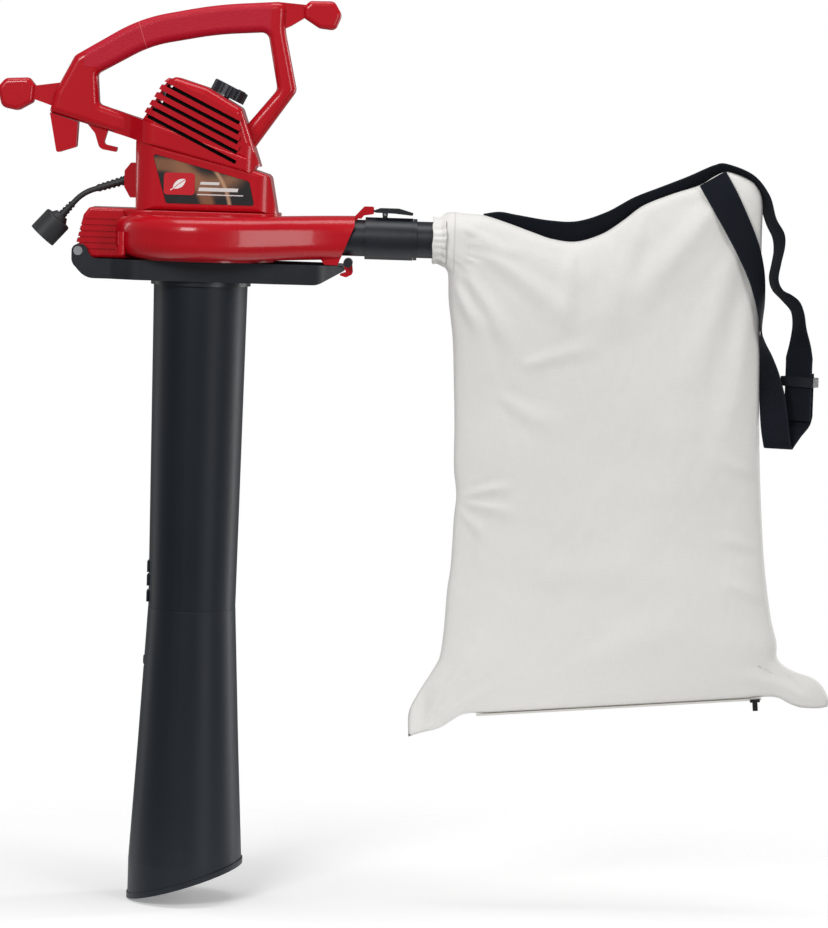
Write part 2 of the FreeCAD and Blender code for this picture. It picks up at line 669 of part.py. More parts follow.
def armature_core():
    core = ring(ARMATURE_R, SHAFT_R, STATOR_LOW, STATOR_HIGH)
    slots = []
    for i in range(ARMATURE_SLOTS):
        slot = box(ARMATURE_R - 6, ARMATURE_R + 2, -1.3, 1.3, STATOR_LOW - 1, STATOR_HIGH + 1)
        slot.rotate(ORIGIN, Z_AXIS, 360.0 * i / ARMATURE_SLOTS)
        slots.append(slot)
    return core.cut(slots)


def brush_set(shape_maker):
    """The same piece on both sides of the commutator, along X."""
    right = shape_maker()
    left = right.copy()
    left.rotate(ORIGIN, Z_AXIS, 180)
    return group([right, left])


stator = ring(STATOR_R, ARMATURE_R + AIR_GAP, STATOR_LOW, STATOR_HIGH)
poles = box(-POLE_GAP, POLE_GAP, -60, 60, STATOR_LOW - 1, STATOR_HIGH + 1)
windows = ring(STATOR_R - 6, ARMATURE_R - 1, STATOR_LOW - 1, STATOR_HIGH + 1).cut(poles)
save("stator_core", stator.cut(windows))
coils = winding_arcs(STATOR_LOW - 8, STATOR_LOW) + winding_arcs(STATOR_HIGH, STATOR_HIGH + 7)
save("field_coils", group(coils))
save("armature_core", armature_core())
end_turns = [
    ring(ARMATURE_R - 3, SHAFT_R + 3, STATOR_LOW - 9, STATOR_LOW),
    ring(ARMATURE_R - 5, SHAFT_R + 3, STATOR_HIGH, COMMUTATOR_LOW - 0.5),
]
save("armature_windings", group(end_turns))
save("commutator", ring(COMMUTATOR_R, SHAFT_R, COMMUTATOR_LOW, COMMUTATOR_HIGH))
save("rotor_shaft", rod(SHAFT_R, V(0, 0, SHAFT_BOTTOM), V(0, 0, SHAFT_TOP)))
bearing_bore = SHAFT_R + RUN_CLEARANCE
save("lower_bearing", ring(LOWER_BEARING_R, bearing_bore, LOWER_BEARING_Z, LOWER_BEARING_TOP))
save("upper_bearing", ring(UPPER_BEARING_R, bearing_bore, UPPER_BEARING_Z, UPPER_BEARING_Z + 6))


def brush():
    low = BRUSH_Z - BRUSH_TALL
    high = BRUSH_Z + BRUSH_TALL
    return box(COMMUTATOR_R + 0.1, BRUSH_BACK, -BRUSH_WIDE, BRUSH_WIDE, low, high)


def brush_spring():
    return rod(2.4, V(BRUSH_BACK, 0, BRUSH_Z), V(HOLDER_FLOOR, 0, BRUSH_Z))


def brush_holder():
    """Square tube with a closed outer end, a running fit round the brush."""
    body = box(15.0, HOLDER_FLOOR + 1.5, -5.0, 5.0, BRUSH_Z - 6, BRUSH_Z + 6)
    wide = BRUSH_WIDE + RUN_CLEARANCE
    tall = BRUSH_TALL + RUN_CLEARANCE
    return body.cut(box(14.0, HOLDER_FLOOR, -wide, wide, BRUSH_Z - tall, BRUSH_Z + tall))


save("brushes", brush_set(brush))
save("brush_springs", brush_set(brush_spring))
save("brush_holders", brush_set(brush_holder))

bridge = box(-13.0, 13.0, -38.0, 38.0, UPPER_BEARING_Z - 1.0, UPPER_BEARING_Z + 6)
bridge = bridge.cut(rod(UPPER_BEARING_R + BEARING_FIT, V(0, 0, UPPER_BEARING_Z), V(0, 0, FAR)))
bridge = bridge.cut(rod(SHAFT_R + 1, V(0, 0, 0), V(0, 0, FAR)))
legs = [box(-9, 9, y0, y0 + 4, STATOR_HIGH + 0.02, UPPER_BEARING_Z) for y0 in (-41.0, 37.0)]
bridge = bridge.fuse([leg.common(rod(STATOR_R, V(0, 0, 0), V(0, 0, FAR))) for leg in legs])
shoulders = [
    box(-13, 13, y - 4, y + 4, UPPER_BEARING_Z - 1, UPPER_BEARING_Z + 4) for y in (-36.0, 36.0)
]
save("bearing_bridge", bridge.fuse(shoulders))


# ---- fans ----
def radial_blade(r0, r1, low, high, thick):
    return box(r0, r1, -thick / 2, thick / 2, low, high)


def bladed(disc, blade, count):
    blades = []
    for i in range(count):
        copy = blade.copy()
        copy.rotate(ORIGIN, Z_AXIS, 360.0 * i / count)
        blades.append(copy)
    return disc.fuse(blades)


FAN_BLADES = 14
IMPELLER_BLADES = 10
FAN_LOW = 74.0
HUB_R = 13.0
IMPELLER_LOW = 16.0
IMPELLER_HIGH = 52.0
BLADE_SWEEP = 70.0  # radius of a blade's curve
BLADE_THICK = 2.4
NUT_R = 9.0  # across the corners, halved
cooling = ring(36.0, SHAFT_R, FAN_LOW, FAN_LOW + 2).fuse(ring(9.0, SHAFT_R, FAN_LOW, FAN_LOW + 14))
fan_blade = radial_blade(8.5, 35.5, FAN_LOW + 1.5, FAN_LOW + 13, 1.4)
save("cooling_fan", bladed(cooling, fan_blade, FAN_BLADES))


def impeller_blade():
    """Blade swept back between two arcs, cut lower towards the inlet eye."""
    outer_arc = rod(BLADE_SWEEP, V(38.0, -46.0, IMPELLER_LOW), V(38.0, -46.0, IMPELLER_HIGH - 2))
    inner_arc = rod(BLADE_SWEEP - BLADE_THICK, V(38.0, -46.0, 0), V(38.0, -46.0, FAR))
    blade = outer_arc.cut(inner_arc).common(rod(IMPELLER_R, V(0, 0, 0), V(0, 0, FAR)))
    blade = blade.common(box(0.0, FAR, 0.0, FAR, 0.0, FAR))
    eye = Part.makeCone(50.0, HUB_R, 20.0, V(0, 0, IMPELLER_LOW), Z_AXIS)
    return blade.cut([eye, rod(HUB_R - 2, V(0, 0, 0), V(0, 0, FAR))])


hub = ring(HUB_R, SHAFT_R, IMPELLER_LOW + 14, IMPELLER_HIGH)
disc = ring(IMPELLER_R, SHAFT_R, IMPELLER_HIGH - 2.5, IMPELLER_HIGH)
save("impeller", bladed(disc.fuse(hub), impeller_blade(), IMPELLER_BLADES))

nut_angles = [math.radians(60 * i) for i in range(6)]
nut_corners = [(NUT_R * math.cos(a), NUT_R * math.sin(a), 0) for a in nut_angles]
nut = plan_prism(nut_corners, IMPELLER_LOW + 6, IMPELLER_LOW + 14)
save("impeller_nut", nut.cut(rod(SHAFT_R, V(0, 0, 0), V(0, 0, FAR))))


# ---- safety interlock: a plunger that the closed inlet frame holds up ----
SWITCH_LOW = 30.0
PEG_TOP = VOLUTE_BOTTOM - 0.5
switch = box(PLUNGER_X - 9, PLUNGER_X + 9, -13.0, 13.0, SWITCH_LOW, SWITCH_LOW + 14)
save("interlock_switch", switch)
plunger = rod(PLUNGER_R, V(PLUNGER_X, 0, PEG_TOP + 0.1), V(PLUNGER_X, 0, SWITCH_LOW - 0.1))
collar = rod(PLUNGER_R + 2, V(PLUNGER_X, 0, SWITCH_LOW - 6), V(PLUNGER_X, 0, SWITCH_LOW - 3))
save("interlock_plunger", plunger.fuse(collar))


# ---- screws ----
SCREW_HEAD_TALL = 2.6


def screw_y(x, z, y_head, length):
    """Cross-recessed screw driven along -Y, its head at the far side."""
    seat = y_head - SCREW_HEAD_TALL
    head = rod(SCREW_HEAD_R, xz(x, z, seat), xz(x, z, y_head))
    shank = rod(SCREW_R - THREAD_GRIP, xz(x, z, y_head - length), xz(x, z, seat))
    recess = box(x - 2.2, x + 2.2, y_head - 1.4, y_head + 1, z - 0.6, z + 0.6)
    cross = box(x - 0.6, x + 0.6, y_head - 1.4, y_head + 1, z - 2.2, z + 2.2)
    return head.fuse(shank).cut([recess, cross])


handle_screws = [screw_y(x, z, HANDLE_HALF - 0.6, 2 * HANDLE_HALF - 8) for x, z in SCREW_SPOTS]
body_screws = [screw_y(x, z, TOWER_HALF - 0.6, 2 * TOWER_HALF - 12) for x, z in BODY_SCREW_SPOTS]
save("housing_screws", group(handle_screws + body_screws))
volute_screws = []
for x, y in volute_screw_spots():
    seat = V(x, y, VOLUTE_SPLIT - HEAD_LEVEL)
    head = rod(SCREW_HEAD_R, seat - V(0, 0, SCREW_HEAD_TALL), seat)
    shank = rod(SCREW_R - THREAD_GRIP, seat, V(x, y, VOLUTE_SPLIT + 10))
    volute_screws.append(head.fuse(shank))
save("volute_screws", group(volute_screws))


# ---- inlet frame: tray that closes under the volute and carries the suction tube ----
FRAME_SIDE = [
    (HINGE_X - HINGE_HUB_R, HINGE_Z + HINGE_HUB_R, 7.9),
    (HINGE_X + HINGE_HUB_R, HINGE_Z + HINGE_HUB_R, 7.9),
    (-133.0, FRAME_TOP, 9), (176.0, FRAME_TOP, 3), (179.5, -2.0, 1.5), (146.0, FRAME_BOTTOM, 22),
    (-140.0, FRAME_BOTTOM, 24), (HINGE_X - HINGE_HUB_R, -2.0, 14),
]
FRAME_PLAN = [
    (-160.0, -52.0, 0), (-110.0, -52.0, 20), (-80.0, -FRAME_HALF, 30), (95.0, -FRAME_HALF, 40),
    (150.0, -60.0, 40), (185.0, -44.0, 0), (185.0, 44.0, 0), (150.0, 60.0, 40),
    (95.0, FRAME_HALF, 40), (-80.0, FRAME_HALF, 30), (-110.0, 52.0, 20), (-160.0, 52.0, 0),
]
COLLAR_R = 62.0
COLLAR_LOW = -27.0
HINGE_SLOT_HALF = GRIP_BLOCK_HALF + 1.0
SWEEP_R = 13.5
FRAME_RIBS = (-100.0, 95.0, 125.0)
PEG_R = 4.0


def inlet_frame():
    side = side_face(FRAME_SIDE, -FRAME_HALF - 5).extrude(V(0, 2 * FRAME_HALF + 10, 0))
    column = plan_face(FRAME_PLAN, -60.0).extrude(V(0, 0, 120.0))
    tray = side.common(column)
    pocket_side = inset(side_face(FRAME_SIDE, -FRAME_HALF), FRAME_WALL)
    pocket = pocket_side.extrude(V(0, 2 * FRAME_HALF, 0))
    pocket_plan = inset(plan_face(FRAME_PLAN, -60.0), FRAME_WALL)
    pocket = pocket.common(pocket_plan.extrude(V(0, 0, 120.0)))
    open_top = plan_face(FRAME_PLAN, FRAME_TOP - FRAME_WALL - 1).extrude(V(0, 0, 20.0))
    open_top = open_top.common(pocket_plan.extrude(V(0, 0, 120.0)))
    open_top = open_top.common(box(-126.0, 168.0, -80, 80, -20, 60))
    tray = tray.cut([pocket.common(box(-132.0, 170.0, -80, 80, -60, 60)), open_top])
    ribs = [box(x - 1, x + 1, -44.0, 44.0, FRAME_BOTTOM + 1, FRAME_TOP - 4) for x in FRAME_RIBS]
    collar = ring(COLLAR_R, TUBE_TOP_R + SLIP_CLEARANCE, COLLAR_LOW, FRAME_TOP - 1)
    tray = tray.fuse([collar] + ribs)
    hub_low = xz(HINGE_X, HINGE_Z, -HINGE_SLOT_HALF)
    hub_high = xz(HINGE_X, HINGE_Z, HINGE_SLOT_HALF)
    cuts = [
        rod(SWEEP_R, hub_low, hub_high),
        box(-170.0, -136.0, -HINGE_SLOT_HALF, HINGE_SLOT_HALF, HINGE_Z - HINGE_HUB_R - 5, 60.0),
        box(-170.0, -120.0, -HINGE_SLOT_HALF, HINGE_SLOT_HALF, FRAME_TOP, 60.0),
        rod(HINGE_PIN_R + RUN_CLEARANCE, xz(HINGE_X, HINGE_Z, -FAR), xz(HINGE_X, HINGE_Z, FAR)),
        rod(TUBE_TOP_R + SLIP_CLEARANCE, V(0, 0, -60), V(0, 0, 60)),
        box(168.0, 190.0, DUCT_Y - LATCH_SLOT_HALF + 1, DUCT_Y + LATCH_SLOT_HALF - 1, -60, -5.2),
    ]
    tray = tray.cut(cuts)
    peg_low = V(PLUNGER_X, 0, FRAME_BOTTOM + 1)
    peg = rod(PEG_R, peg_low, V(PLUNGER_X, 0, PEG_TOP))
    return tray.fuse([peg])


save("inlet_frame", inlet_frame())
pin_end = xz(HINGE_X, HINGE_Z, 53.5)
pin_start = xz(HINGE_X, HINGE_Z, -53.5)
cap_reach = V(0, 1.2, 0)
pin = rod(HINGE_PIN_R, pin_start, pin_end)
caps = [
    rod(HINGE_PIN_R + 1.6, pin_start, pin_start + cap_reach),
    rod(HINGE_PIN_R + 1.6, pin_end - cap_reach, pin_end),
]
save("hinge_pin", pin.fuse(caps))

latch_low = DUCT_Y - LUG_HALF - 3
latch_high = DUCT_Y + LUG_HALF + 3
latch_pin = rod(LATCH_PIN_R, xz(LATCH_X, LATCH_Z, latch_low), xz(LATCH_X, LATCH_Z, latch_high))
knuckles = [
    rod(5.6, xz(LATCH_X, LATCH_Z, y), xz(LATCH_X, LATCH_Z, y + 2.8)) for y in (latch_low, latch_high - 2.8)
]
save("latch_pin", latch_pin.fuse(knuckles))

LEVER_SIDE = [
    (178.0, 2.0, 2), (181.0, -4.0, 0.5), (174.0, -6.2, 0.5), (173.0, -8.0, 0.5), (181.0, -10.5, 3),
    (189.5, -6.0, 5), (188.0, 8.0, 2), (182.0, 8.0, 0),
]
lever_half = LATCH_SLOT_HALF - 0.5
lever = side_prism(LEVER_SIDE, DUCT_Y - lever_half, DUCT_Y + lever_half)
hub_start = xz(LATCH_X, LATCH_Z, DUCT_Y - lever_half)
hub_end = xz(LATCH_X, LATCH_Z, DUCT_Y + lever_half)
lever = lever.fuse(rod(5.4, hub_start, hub_end)).cut(
    rod(LATCH_PIN_R + RUN_CLEARANCE, xz(LATCH_X, LATCH_Z, -FAR), xz(LATCH_X, LATCH_Z, FAR))
)
save("frame_latch", lever)


# ---- suction tubes ----
def stepped_tube(stations, wall_stations):
    """Turned tube: outer (radius, z) stations, less inner (radius, z) stations."""
    outer = [cone(b[0], a[0], b[1], a[1]) for a, b in zip(stations, stations[1:])]
    inner = [cone(b[0], a[0], b[1], a[1]) for a, b in zip(wall_stations, wall_stations[1:])]
    solid = outer[0].fuse(outer[1:]) if len(outer) > 1 else outer[0]
    hollow = inner[0].fuse(inner[1:]) if len(inner) > 1 else inner[0]
    return solid.cut(hollow)


spigot_end = TUBE_JOINT_Z - SPIGOT_LENGTH
TUBE_TOP_Z = -3.0
PAD_LOWS = (-387.0, -404.0, -424.0)  # ribs that stand out behind the lower end of the tube
upper = stepped_tube(
    [(TUBE_TOP_R, TUBE_TOP_Z), (TUBE_TOP_R, COLLAR_LOW), (TUBE_JOINT_R, TUBE_JOINT_Z)],
    [
        (INLET_R, TUBE_TOP_Z), (TUBE_TOP_R - TUBE_WALL, TUBE_TOP_Z - 11),
        (TUBE_JOINT_R - TUBE_WALL, TUBE_JOINT_Z + 25), (SPIGOT_R - TUBE_WALL, TUBE_JOINT_Z + 15),
        (SPIGOT_R - TUBE_WALL, TUBE_JOINT_Z),
    ],
)
upper = upper.fuse(ring(SPIGOT_R, SPIGOT_R - TUBE_WALL, spigot_end, TUBE_JOINT_Z))
rib = box(-TUBE_JOINT_R - 2.2, -TUBE_JOINT_R + 0.5, -11.0, 11.0, 0, 13.5)
pads = []
for low in PAD_LOWS:
    pad = rib.copy()
    pad.translate(V(0, 0, low))
    pads.append(pad)
button_hole_r = BUTTON_R + 0.2
button_hole = rod(button_hole_r, V(-SPIGOT_R - 3, 0, BUTTON_Z), V(-SPIGOT_R + 8, 0, BUTTON_Z))
button_way = box(-SPIGOT_R - 3, -SPIGOT_R + 8, -button_hole_r, button_hole_r, spigot_end - 1, BUTTON_Z)
save("vac_tube_upper", upper.fuse(pads).cut([button_hole, button_way]))


def nozzle_mouth(offset):
    """Everything below the slanted mouth plane, moved down by an offset."""
    below = box(-300.0, 300.0, -300.0, 300.0, -400.0, 0.0)
    below.rotate(ORIGIN, Y_AXIS, -math.degrees(NOZZLE_SLANT))
    low_side = V(-NOZZLE_R, 0, NOZZLE_END - offset)
    below.translate(low_side)
    return below


socket_r = SPIGOT_R + SLIP_CLEARANCE
FLARE_R = 62.8
FLARE_Z = -598.0
WIDE_Z = -748.0  # where the nozzle reaches its full width
BLANK_END = -830.0  # below the whole of the slanted mouth
LIP_PROUD = 1.2
LIP_TALL = 7.0
outer_stations = [
    (TUBE_JOINT_R + 0.2, TUBE_JOINT_Z), (FLARE_R, FLARE_Z), (NOZZLE_R, WIDE_Z), (NOZZLE_R, BLANK_END),
]
inner_stations = [
    (socket_r, TUBE_JOINT_Z), (socket_r, TUBE_JOINT_Z - 35), (socket_r + 2, TUBE_JOINT_Z - 50),
    (FLARE_R - TUBE_WALL, FLARE_Z), (NOZZLE_R - TUBE_WALL, WIDE_Z), (NOZZLE_R - TUBE_WALL, BLANK_END),
]
lower = stepped_tube(outer_stations, inner_stations)
lip = ring(NOZZLE_R + LIP_PROUD, NOZZLE_R - TUBE_WALL, BLANK_END, WIDE_Z + 48)
lip = lip.cut(nozzle_mouth(0)).common(nozzle_mouth(-LIP_TALL))
lower = lower.cut(nozzle_mouth(0)).fuse(lip)
button_slot = rod(button_hole_r, V(-FAR, 0, BUTTON_Z), V(-SPIGOT_R + 3, 0, BUTTON_Z))
dish = Part.makeSphere(20.0, V(-TUBE_JOINT_R - 20.5, 0, BUTTON_Z))
save("vac_tube_lower", lower.cut([button_slot, dish]))

flange_x = -SPIGOT_R + TUBE_WALL + 1
button_back = V(flange_x + 1.5, 0, BUTTON_Z)
button = rod(BUTTON_R, V(-TUBE_JOINT_R - 4.5, 0, BUTTON_Z), button_back)
flange = rod(BUTTON_R + 2, V(flange_x, 0, BUTTON_Z), button_back)
button = button.makeFillet(1.5, [e for e in button.Edges if e.BoundBox.XMax < -TUBE_JOINT_R - 4])
save("tube_button", button.fuse(flange))


# ---- outlet adapter, its latch, and the bag tube ----
def along_x(radius, x0, x1):
    return rod(radius, V(x0, DUCT_Y, DUCT_Z), V(x1, DUCT_Y, DUCT_Z))


spigot_r = SPIGOT_BORE - SLIP_CLEARANCE
bore = BAG_TUBE_R + SLIP_CLEARANCE
duct_bore = spigot_r - PIPE_WALL
adapter = along_x(spigot_r, DUCT_END - 30, DUCT_END + 14)
adapter = adapter.fuse(along_x(ADAPTER_R, DUCT_END + 13, ADAPTER_END))
adapter = adapter.cut([along_x(duct_bore, 0, ADAPTER_END - 30), along_x(bore, ADAPTER_END - 32, FAR)])
adapter_top = DUCT_Z + ADAPTER_R
saddle = box(DUCT_END + 34, DUCT_END + 40, DUCT_Y - 7.5, DUCT_Y + 7.5, adapter_top - 3, adapter_top + 7)
adapter = adapter.fuse(saddle.cut(along_x(ADAPTER_R - 1, 0, FAR)))
PIVOT_X = DUCT_END + 37
PIVOT_Z = adapter_top + 4
PIVOT_R = 1.5
pivot_hole = rod(PIVOT_R + RUN_CLEARANCE, xz(PIVOT_X, PIVOT_Z, -FAR), xz(PIVOT_X, PIVOT_Z, FAR))
save("outlet_adapter", adapter.cut(pivot_hole))

bag_tube = along_x(BAG_TUBE_R, ADAPTER_END - 28, BAG_TUBE_END)
bag_tube = bag_tube.fuse(along_x(ADAPTER_R - 0.5, ADAPTER_END + 0.2, ADAPTER_END + 5))
save("bag_tube", bag_tube.cut(along_x(BAG_TUBE_R - PIPE_WALL, 0, FAR)))

RELEASE_HALF = 13.0
RELEASE_SIDE = [
    (214.5, 73.5, 1), (221.0, 76.0, 2), (244.0, 76.0, 4), (262.0, 71.0, 1.5), (261.0, 68.0, 1.5),
    (238.0, 70.0, 3), (214.5, 70.5, 1),
]
TONGUE_SIDE = [
    (205.0, TONGUE_TOP - 2.6, 0.8), (205.0, TAB_TOP - 1.2, 0.8), (209.5, TAB_TOP - 2.4, 0.5),
    (210.0, TONGUE_TOP, 0.3), (218.0, TONGUE_TOP, 0), (218.0, TONGUE_TOP - 2.6, 0),
]
release = side_prism(RELEASE_SIDE, DUCT_Y - RELEASE_HALF, DUCT_Y + RELEASE_HALF)
release = release.fuse(side_prism(TONGUE_SIDE, DUCT_Y - TONGUE_HALF, DUCT_Y + TONGUE_HALF))
release = release.cut(box(PIVOT_X - 6, PIVOT_X + 6, DUCT_Y - 8, DUCT_Y + 8, 0, 74.0))
eyes = [
    rod(3.4, xz(PIVOT_X, PIVOT_Z, y), xz(PIVOT_X, PIVOT_Z, y + 4.5)) for y in (DUCT_Y - 12.8, DUCT_Y + 8.3)
]
release = release.fuse(eyes)
save("release_latch", release.cut(pivot_hole))
pivot_start = xz(PIVOT_X, PIVOT_Z, DUCT_Y - RELEASE_HALF)
pivot_end = xz(PIVOT_X, PIVOT_Z, DUCT_Y + RELEASE_HALF)
save("release_pin", rod(PIVOT_R, pivot_start, pivot_end))


# ---- mains lead: relief, cord, relief, plug ----
relief_end = RELIEF_START + RELIEF_LINE * 38.0
relief_root = RELIEF_START - RELIEF_LINE * 14.0


def strain_relief(root, tip, root_r, tip_r, rings):
    """Tapered sleeve with raised rings, from its root to its tip."""
    line = tip - root
    sleeve = Part.makeCone(root_r - 1.4, tip_r - 0.6, line.Length, root, line)
    unit = V(line).normalize()
    for i in range(rings):
        share = (i + 0.5) / rings
        radius = root_r + (tip_r - root_r) * share
        start = root + unit * (line.Length * share - 1.4)
        sleeve = sleeve.fuse(rod(radius, start, start + unit * 2.8))
    return sleeve


machine_relief = strain_relief(RELIEF_START + RELIEF_LINE * 2.5, relief_end, RELIEF_R, CORD_R + 1.2, 6)
machine_relief = machine_relief.fuse(rod(RELIEF_R - 0.2, relief_root, RELIEF_START + RELIEF_LINE * 3))
save("relief_machine", machine_relief)

CORD_POINTS = [
    (-131.85, 88.75), (-140.40, 85.98), (-148.35, 81.75), (-155.44, 76.21), (-161.46, 69.52),
]


def cord_tube(points, radius):
    """Tube of straight runs joined by tangent arcs, as large as the runs allow."""
    spots = [xz(x, z) for x, z in points]
    edges = []
    here = spots[0]
    for before, corner, after in zip(spots, spots[1:], spots[2:]):
        arrive = corner - before
        leave = after - corner
        half_turn = arrive.getAngle(leave) / 2
        reach = 0.45 * min(arrive.Length, leave.Length)
        bend = reach / math.tan(half_turn)
        print(f"cord bend radius {bend:.1f} mm")
        arrive.normalize()
        leave.normalize()
        start = corner - arrive * reach
        end = corner + leave * reach
        inward = (leave - arrive).normalize()
        middle = corner + inward * (bend / math.cos(half_turn) - bend)
        edges.append(Part.LineSegment(here, start).toShape())
        edges.append(Part.Arc(start, middle, end).toShape())
        here = end
    edges.append(Part.LineSegment(here, spots[-1]).toShape())
    path = Part.Wire(edges)
    total = path.Length
    section = Part.Wire([Part.Circle(spots[0], spots[1] - spots[0], radius).toShape()])
    tube = path.makePipeShell([section], True, False)
    expected = math.pi * radius ** 2 * total
    print(f"cord length {total:.1f} mm, volume / (section x length) {tube.Volume / expected:.4f}")
    return tube


save("cord", cord_tube(CORD_POINTS, CORD_R))

cord_end = xz(*CORD_POINTS[-1])
plug_line = (cord_end - xz(*CORD_POINTS[-2])).normalize()
RELIEF_TO_PLUG = 20.0
PLUG_NECK = 6.0
HOOD_DEPTH = 16.0
HOOD_WALL = 3.0


def on_plug(distance):
    return cord_end + plug_line * distance


plug_back = RELIEF_TO_PLUG + PLUG_NECK
save("relief_plug", strain_relief(cord_end, on_plug(RELIEF_TO_PLUG), CORD_R + 1.0, RELIEF_R - 0.5, 4))
plug = rod(PLUG_R, on_plug(plug_back), on_plug(plug_back + PLUG_LENGTH))
back_edges = [e for e in plug.Edges if (e.CenterOfMass - on_plug(plug_back)).Length < 1.0]
plug = plug.makeFillet(2.5, back_edges)
plug = plug.fuse(Part.makeCone(8.5, 12.5, PLUG_NECK + 0.5, on_plug(RELIEF_TO_PLUG), plug_line))
plug_face = plug_back + PLUG_LENGTH - HOOD_DEPTH
plug = plug.cut(rod(PLUG_R - HOOD_WALL, on_plug(plug_face), on_plug(plug_face + 40)))
save("plug_body", plug)


def plug_blade(offset):
    blade = box(-3.2, 3.2, offset - 0.8, offset + 0.8, 0.0, 14.0)
    blade.Placement = FreeCAD.Placement(on_plug(plug_face), FreeCAD.Rotation(Z_AXIS, plug_line))
    return blade


save("plug_blades", group([plug_blade(-6.35), plug_blade(6.35)]))


# ---- collection bag ----
BAG_FLOOR_START = (343.0, -549.0)
BAG_FLOOR_END = (728.0, -515.0)
BAG_SIDE = [
    (290.0, 60.0, 6), (304.0, 73.5, 8), (350.0, 70.0, 30), (384.0, 60.0, 30), (440.0, 42.0, 40),
    (490.0, 49.0, 60), (545.0, 90.0, 60), (612.0, 116.0, 60), (642.0, 134.0, 14), (680.0, 122.0, 14),
    (692.0, 96.0, 30), (697.0, -180.0, 200), (710.0, -350.0, 200), (729.0, -452.0, 30),
    (732.0, -474.0, 8), (776.0, -489.0, 14), (795.0, -517.0, 5), (789.0, -528.0, 4),
    (757.0, -528.0, 14), (BAG_FLOOR_END[0], BAG_FLOOR_END[1], 25),
    (BAG_FLOOR_START[0], BAG_FLOOR_START[1], 25), (306.0, -572.0, 16), (276.0, -580.0, 3),
    (275.0, -548.0, 16), (312.0, -484.0, 30), (323.0, -300.0, 300), (317.0, -110.0, 200),
    (306.0, 0.0, 8), (290.0, 17.0, 4),
]
NECK_X = 288.0
BAND_X = 297.0


def bag_solid():
    half = BAG_HALF
    neck_r = BAG_TUBE_R + SLIP_CLEARANCE + BAG_WALL
    outer = side_prism(BAG_SIDE, DUCT_Y - half, DUCT_Y + half)
    outer = round_ends(outer, 2.2, Y_AXIS, DUCT_Y - half, DUCT_Y + half)
    outer = outer.fuse(along_x(neck_r, NECK_X, NECK_X + 20))
    inside = inset(side_face(BAG_SIDE, DUCT_Y - half + BAG_WALL), BAG_WALL)
    inside = inside.extrude(V(0, 2 * (half - BAG_WALL), 0))
    inside = inside.cut(box(200.0, NECK_X + 18, -200, 200, -50, 150))
    neck = along_x(neck_r - BAG_WALL, NECK_X - 10, NECK_X + 40)
    trim = box(NECK_X - 10, NECK_X + 17, DUCT_Y - 60, DUCT_Y + 60, -10, 90)
    trim = trim.cut(along_x(neck_r, 0, FAR))
    return outer.cut([inside, neck, trim])


save("bag", bag_solid())
band_in = BAG_TUBE_R + SLIP_CLEARANCE + BAG_WALL + 0.05
band = along_x(band_in + 2.0, BAND_X - 5, BAND_X + 5).cut(along_x(band_in, 0, FAR))
band_top = DUCT_Z + band_in
buckle = box(BAND_X - 4, BAND_X + 4, DUCT_Y - 6, DUCT_Y + 6, band_top + 1, band_top + 5)
save("neck_band", band.fuse(buckle))


# ---- shoulder strap ----
def ribbon(points, thick, y0, y1):
    """Webbing that follows (x, z, radius) points, its width along Y."""
    count = len(points)
    left = []
    right = []
    for i, (x, z, radius) in enumerate(points):
        before = points[max(i - 1, 0)]
        after = points[min(i + 1, count - 1)]
        arrive = V(x - before[0], z - before[1], 0) if i else V(after[0] - x, after[1] - z, 0)
        leave = V(after[0] - x, after[1] - z, 0) if i < count - 1 else V(arrive)
        arrive.normalize()
        leave.normalize()
        half_turn = arrive.getAngle(leave) / 2
        bisector = V(-(arrive.y + leave.y), arrive.x + leave.x, 0).normalize()
        reach = thick / 2 / math.cos(half_turn)
        turn_left = arrive.x * leave.y - arrive.y * leave.x > 0
        inner = max(radius - thick / 2, 0) if radius else 0
        outer = radius + thick / 2 if radius else 0
        left.append((x + bisector.x * reach, z + bisector.y * reach, inner if turn_left else outer))
        right.append((x - bisector.x * reach, z - bisector.y * reach, outer if turn_left else inner))
    return side_prism(left + right[::-1], y0, y1)


strap_low = DUCT_Y - WEBBING / 2
strap_high = DUCT_Y + WEBBING / 2
STRAP_TOP = [
    (346.0, 74.5, 0), (384.0, 73.0, 40), (438.0, 58.0, 50), (486.0, 62.0, 50), (545.0, 100.0, 60),
    (610.0, 126.0, 40), (641.0, 142.0, 16), (682.0, 129.0, 14), (700.0, 96.0, 30), (711.0, 60.0, 20),
    (710.0, 12.0, 12), (735.0, -26.0, 20), (743.0, -60.0, 30), (745.0, -92.0, 0),
]
STRAP_FRONT = [
    (622.0, 112.0, 0), (648.0, 127.0, 0), (676.0, 84.0, 30), (697.0, 20.0, 20), (699.0, -52.0, 10),
    (722.0, -112.0, 20), (741.0, -206.0, 0), (702.0, -206.0, 0), (695.0, -120.0, 20), (694.0, -54.0, 10),
    (672.0, 10.0, 20),
]
SLIDER_X = 745.0
SLIDER_Z = -122.0
SLIDER_TURN = -35.0  # degrees about Z
SLIDER_HALF = 6.0
WEB_GAP = 1.8  # from the middle of the slider to each layer of webbing
STRAP_BOTTOM = -206.0


def at_slider(solid):
    """Turn and move a solid built round the slider's own vertical axis."""
    solid.rotate(ORIGIN, Z_AXIS, SLIDER_TURN)
    solid.translate(V(SLIDER_X, DUCT_Y, 0))
    return solid


def web_layer(side, low, high):
    y0 = min(side * WEB_GAP, side * (WEB_GAP + WEBBING_THICK))
    return at_slider(box(-WEBBING / 2, WEBBING / 2, y0, y0 + WEBBING_THICK, low, high))


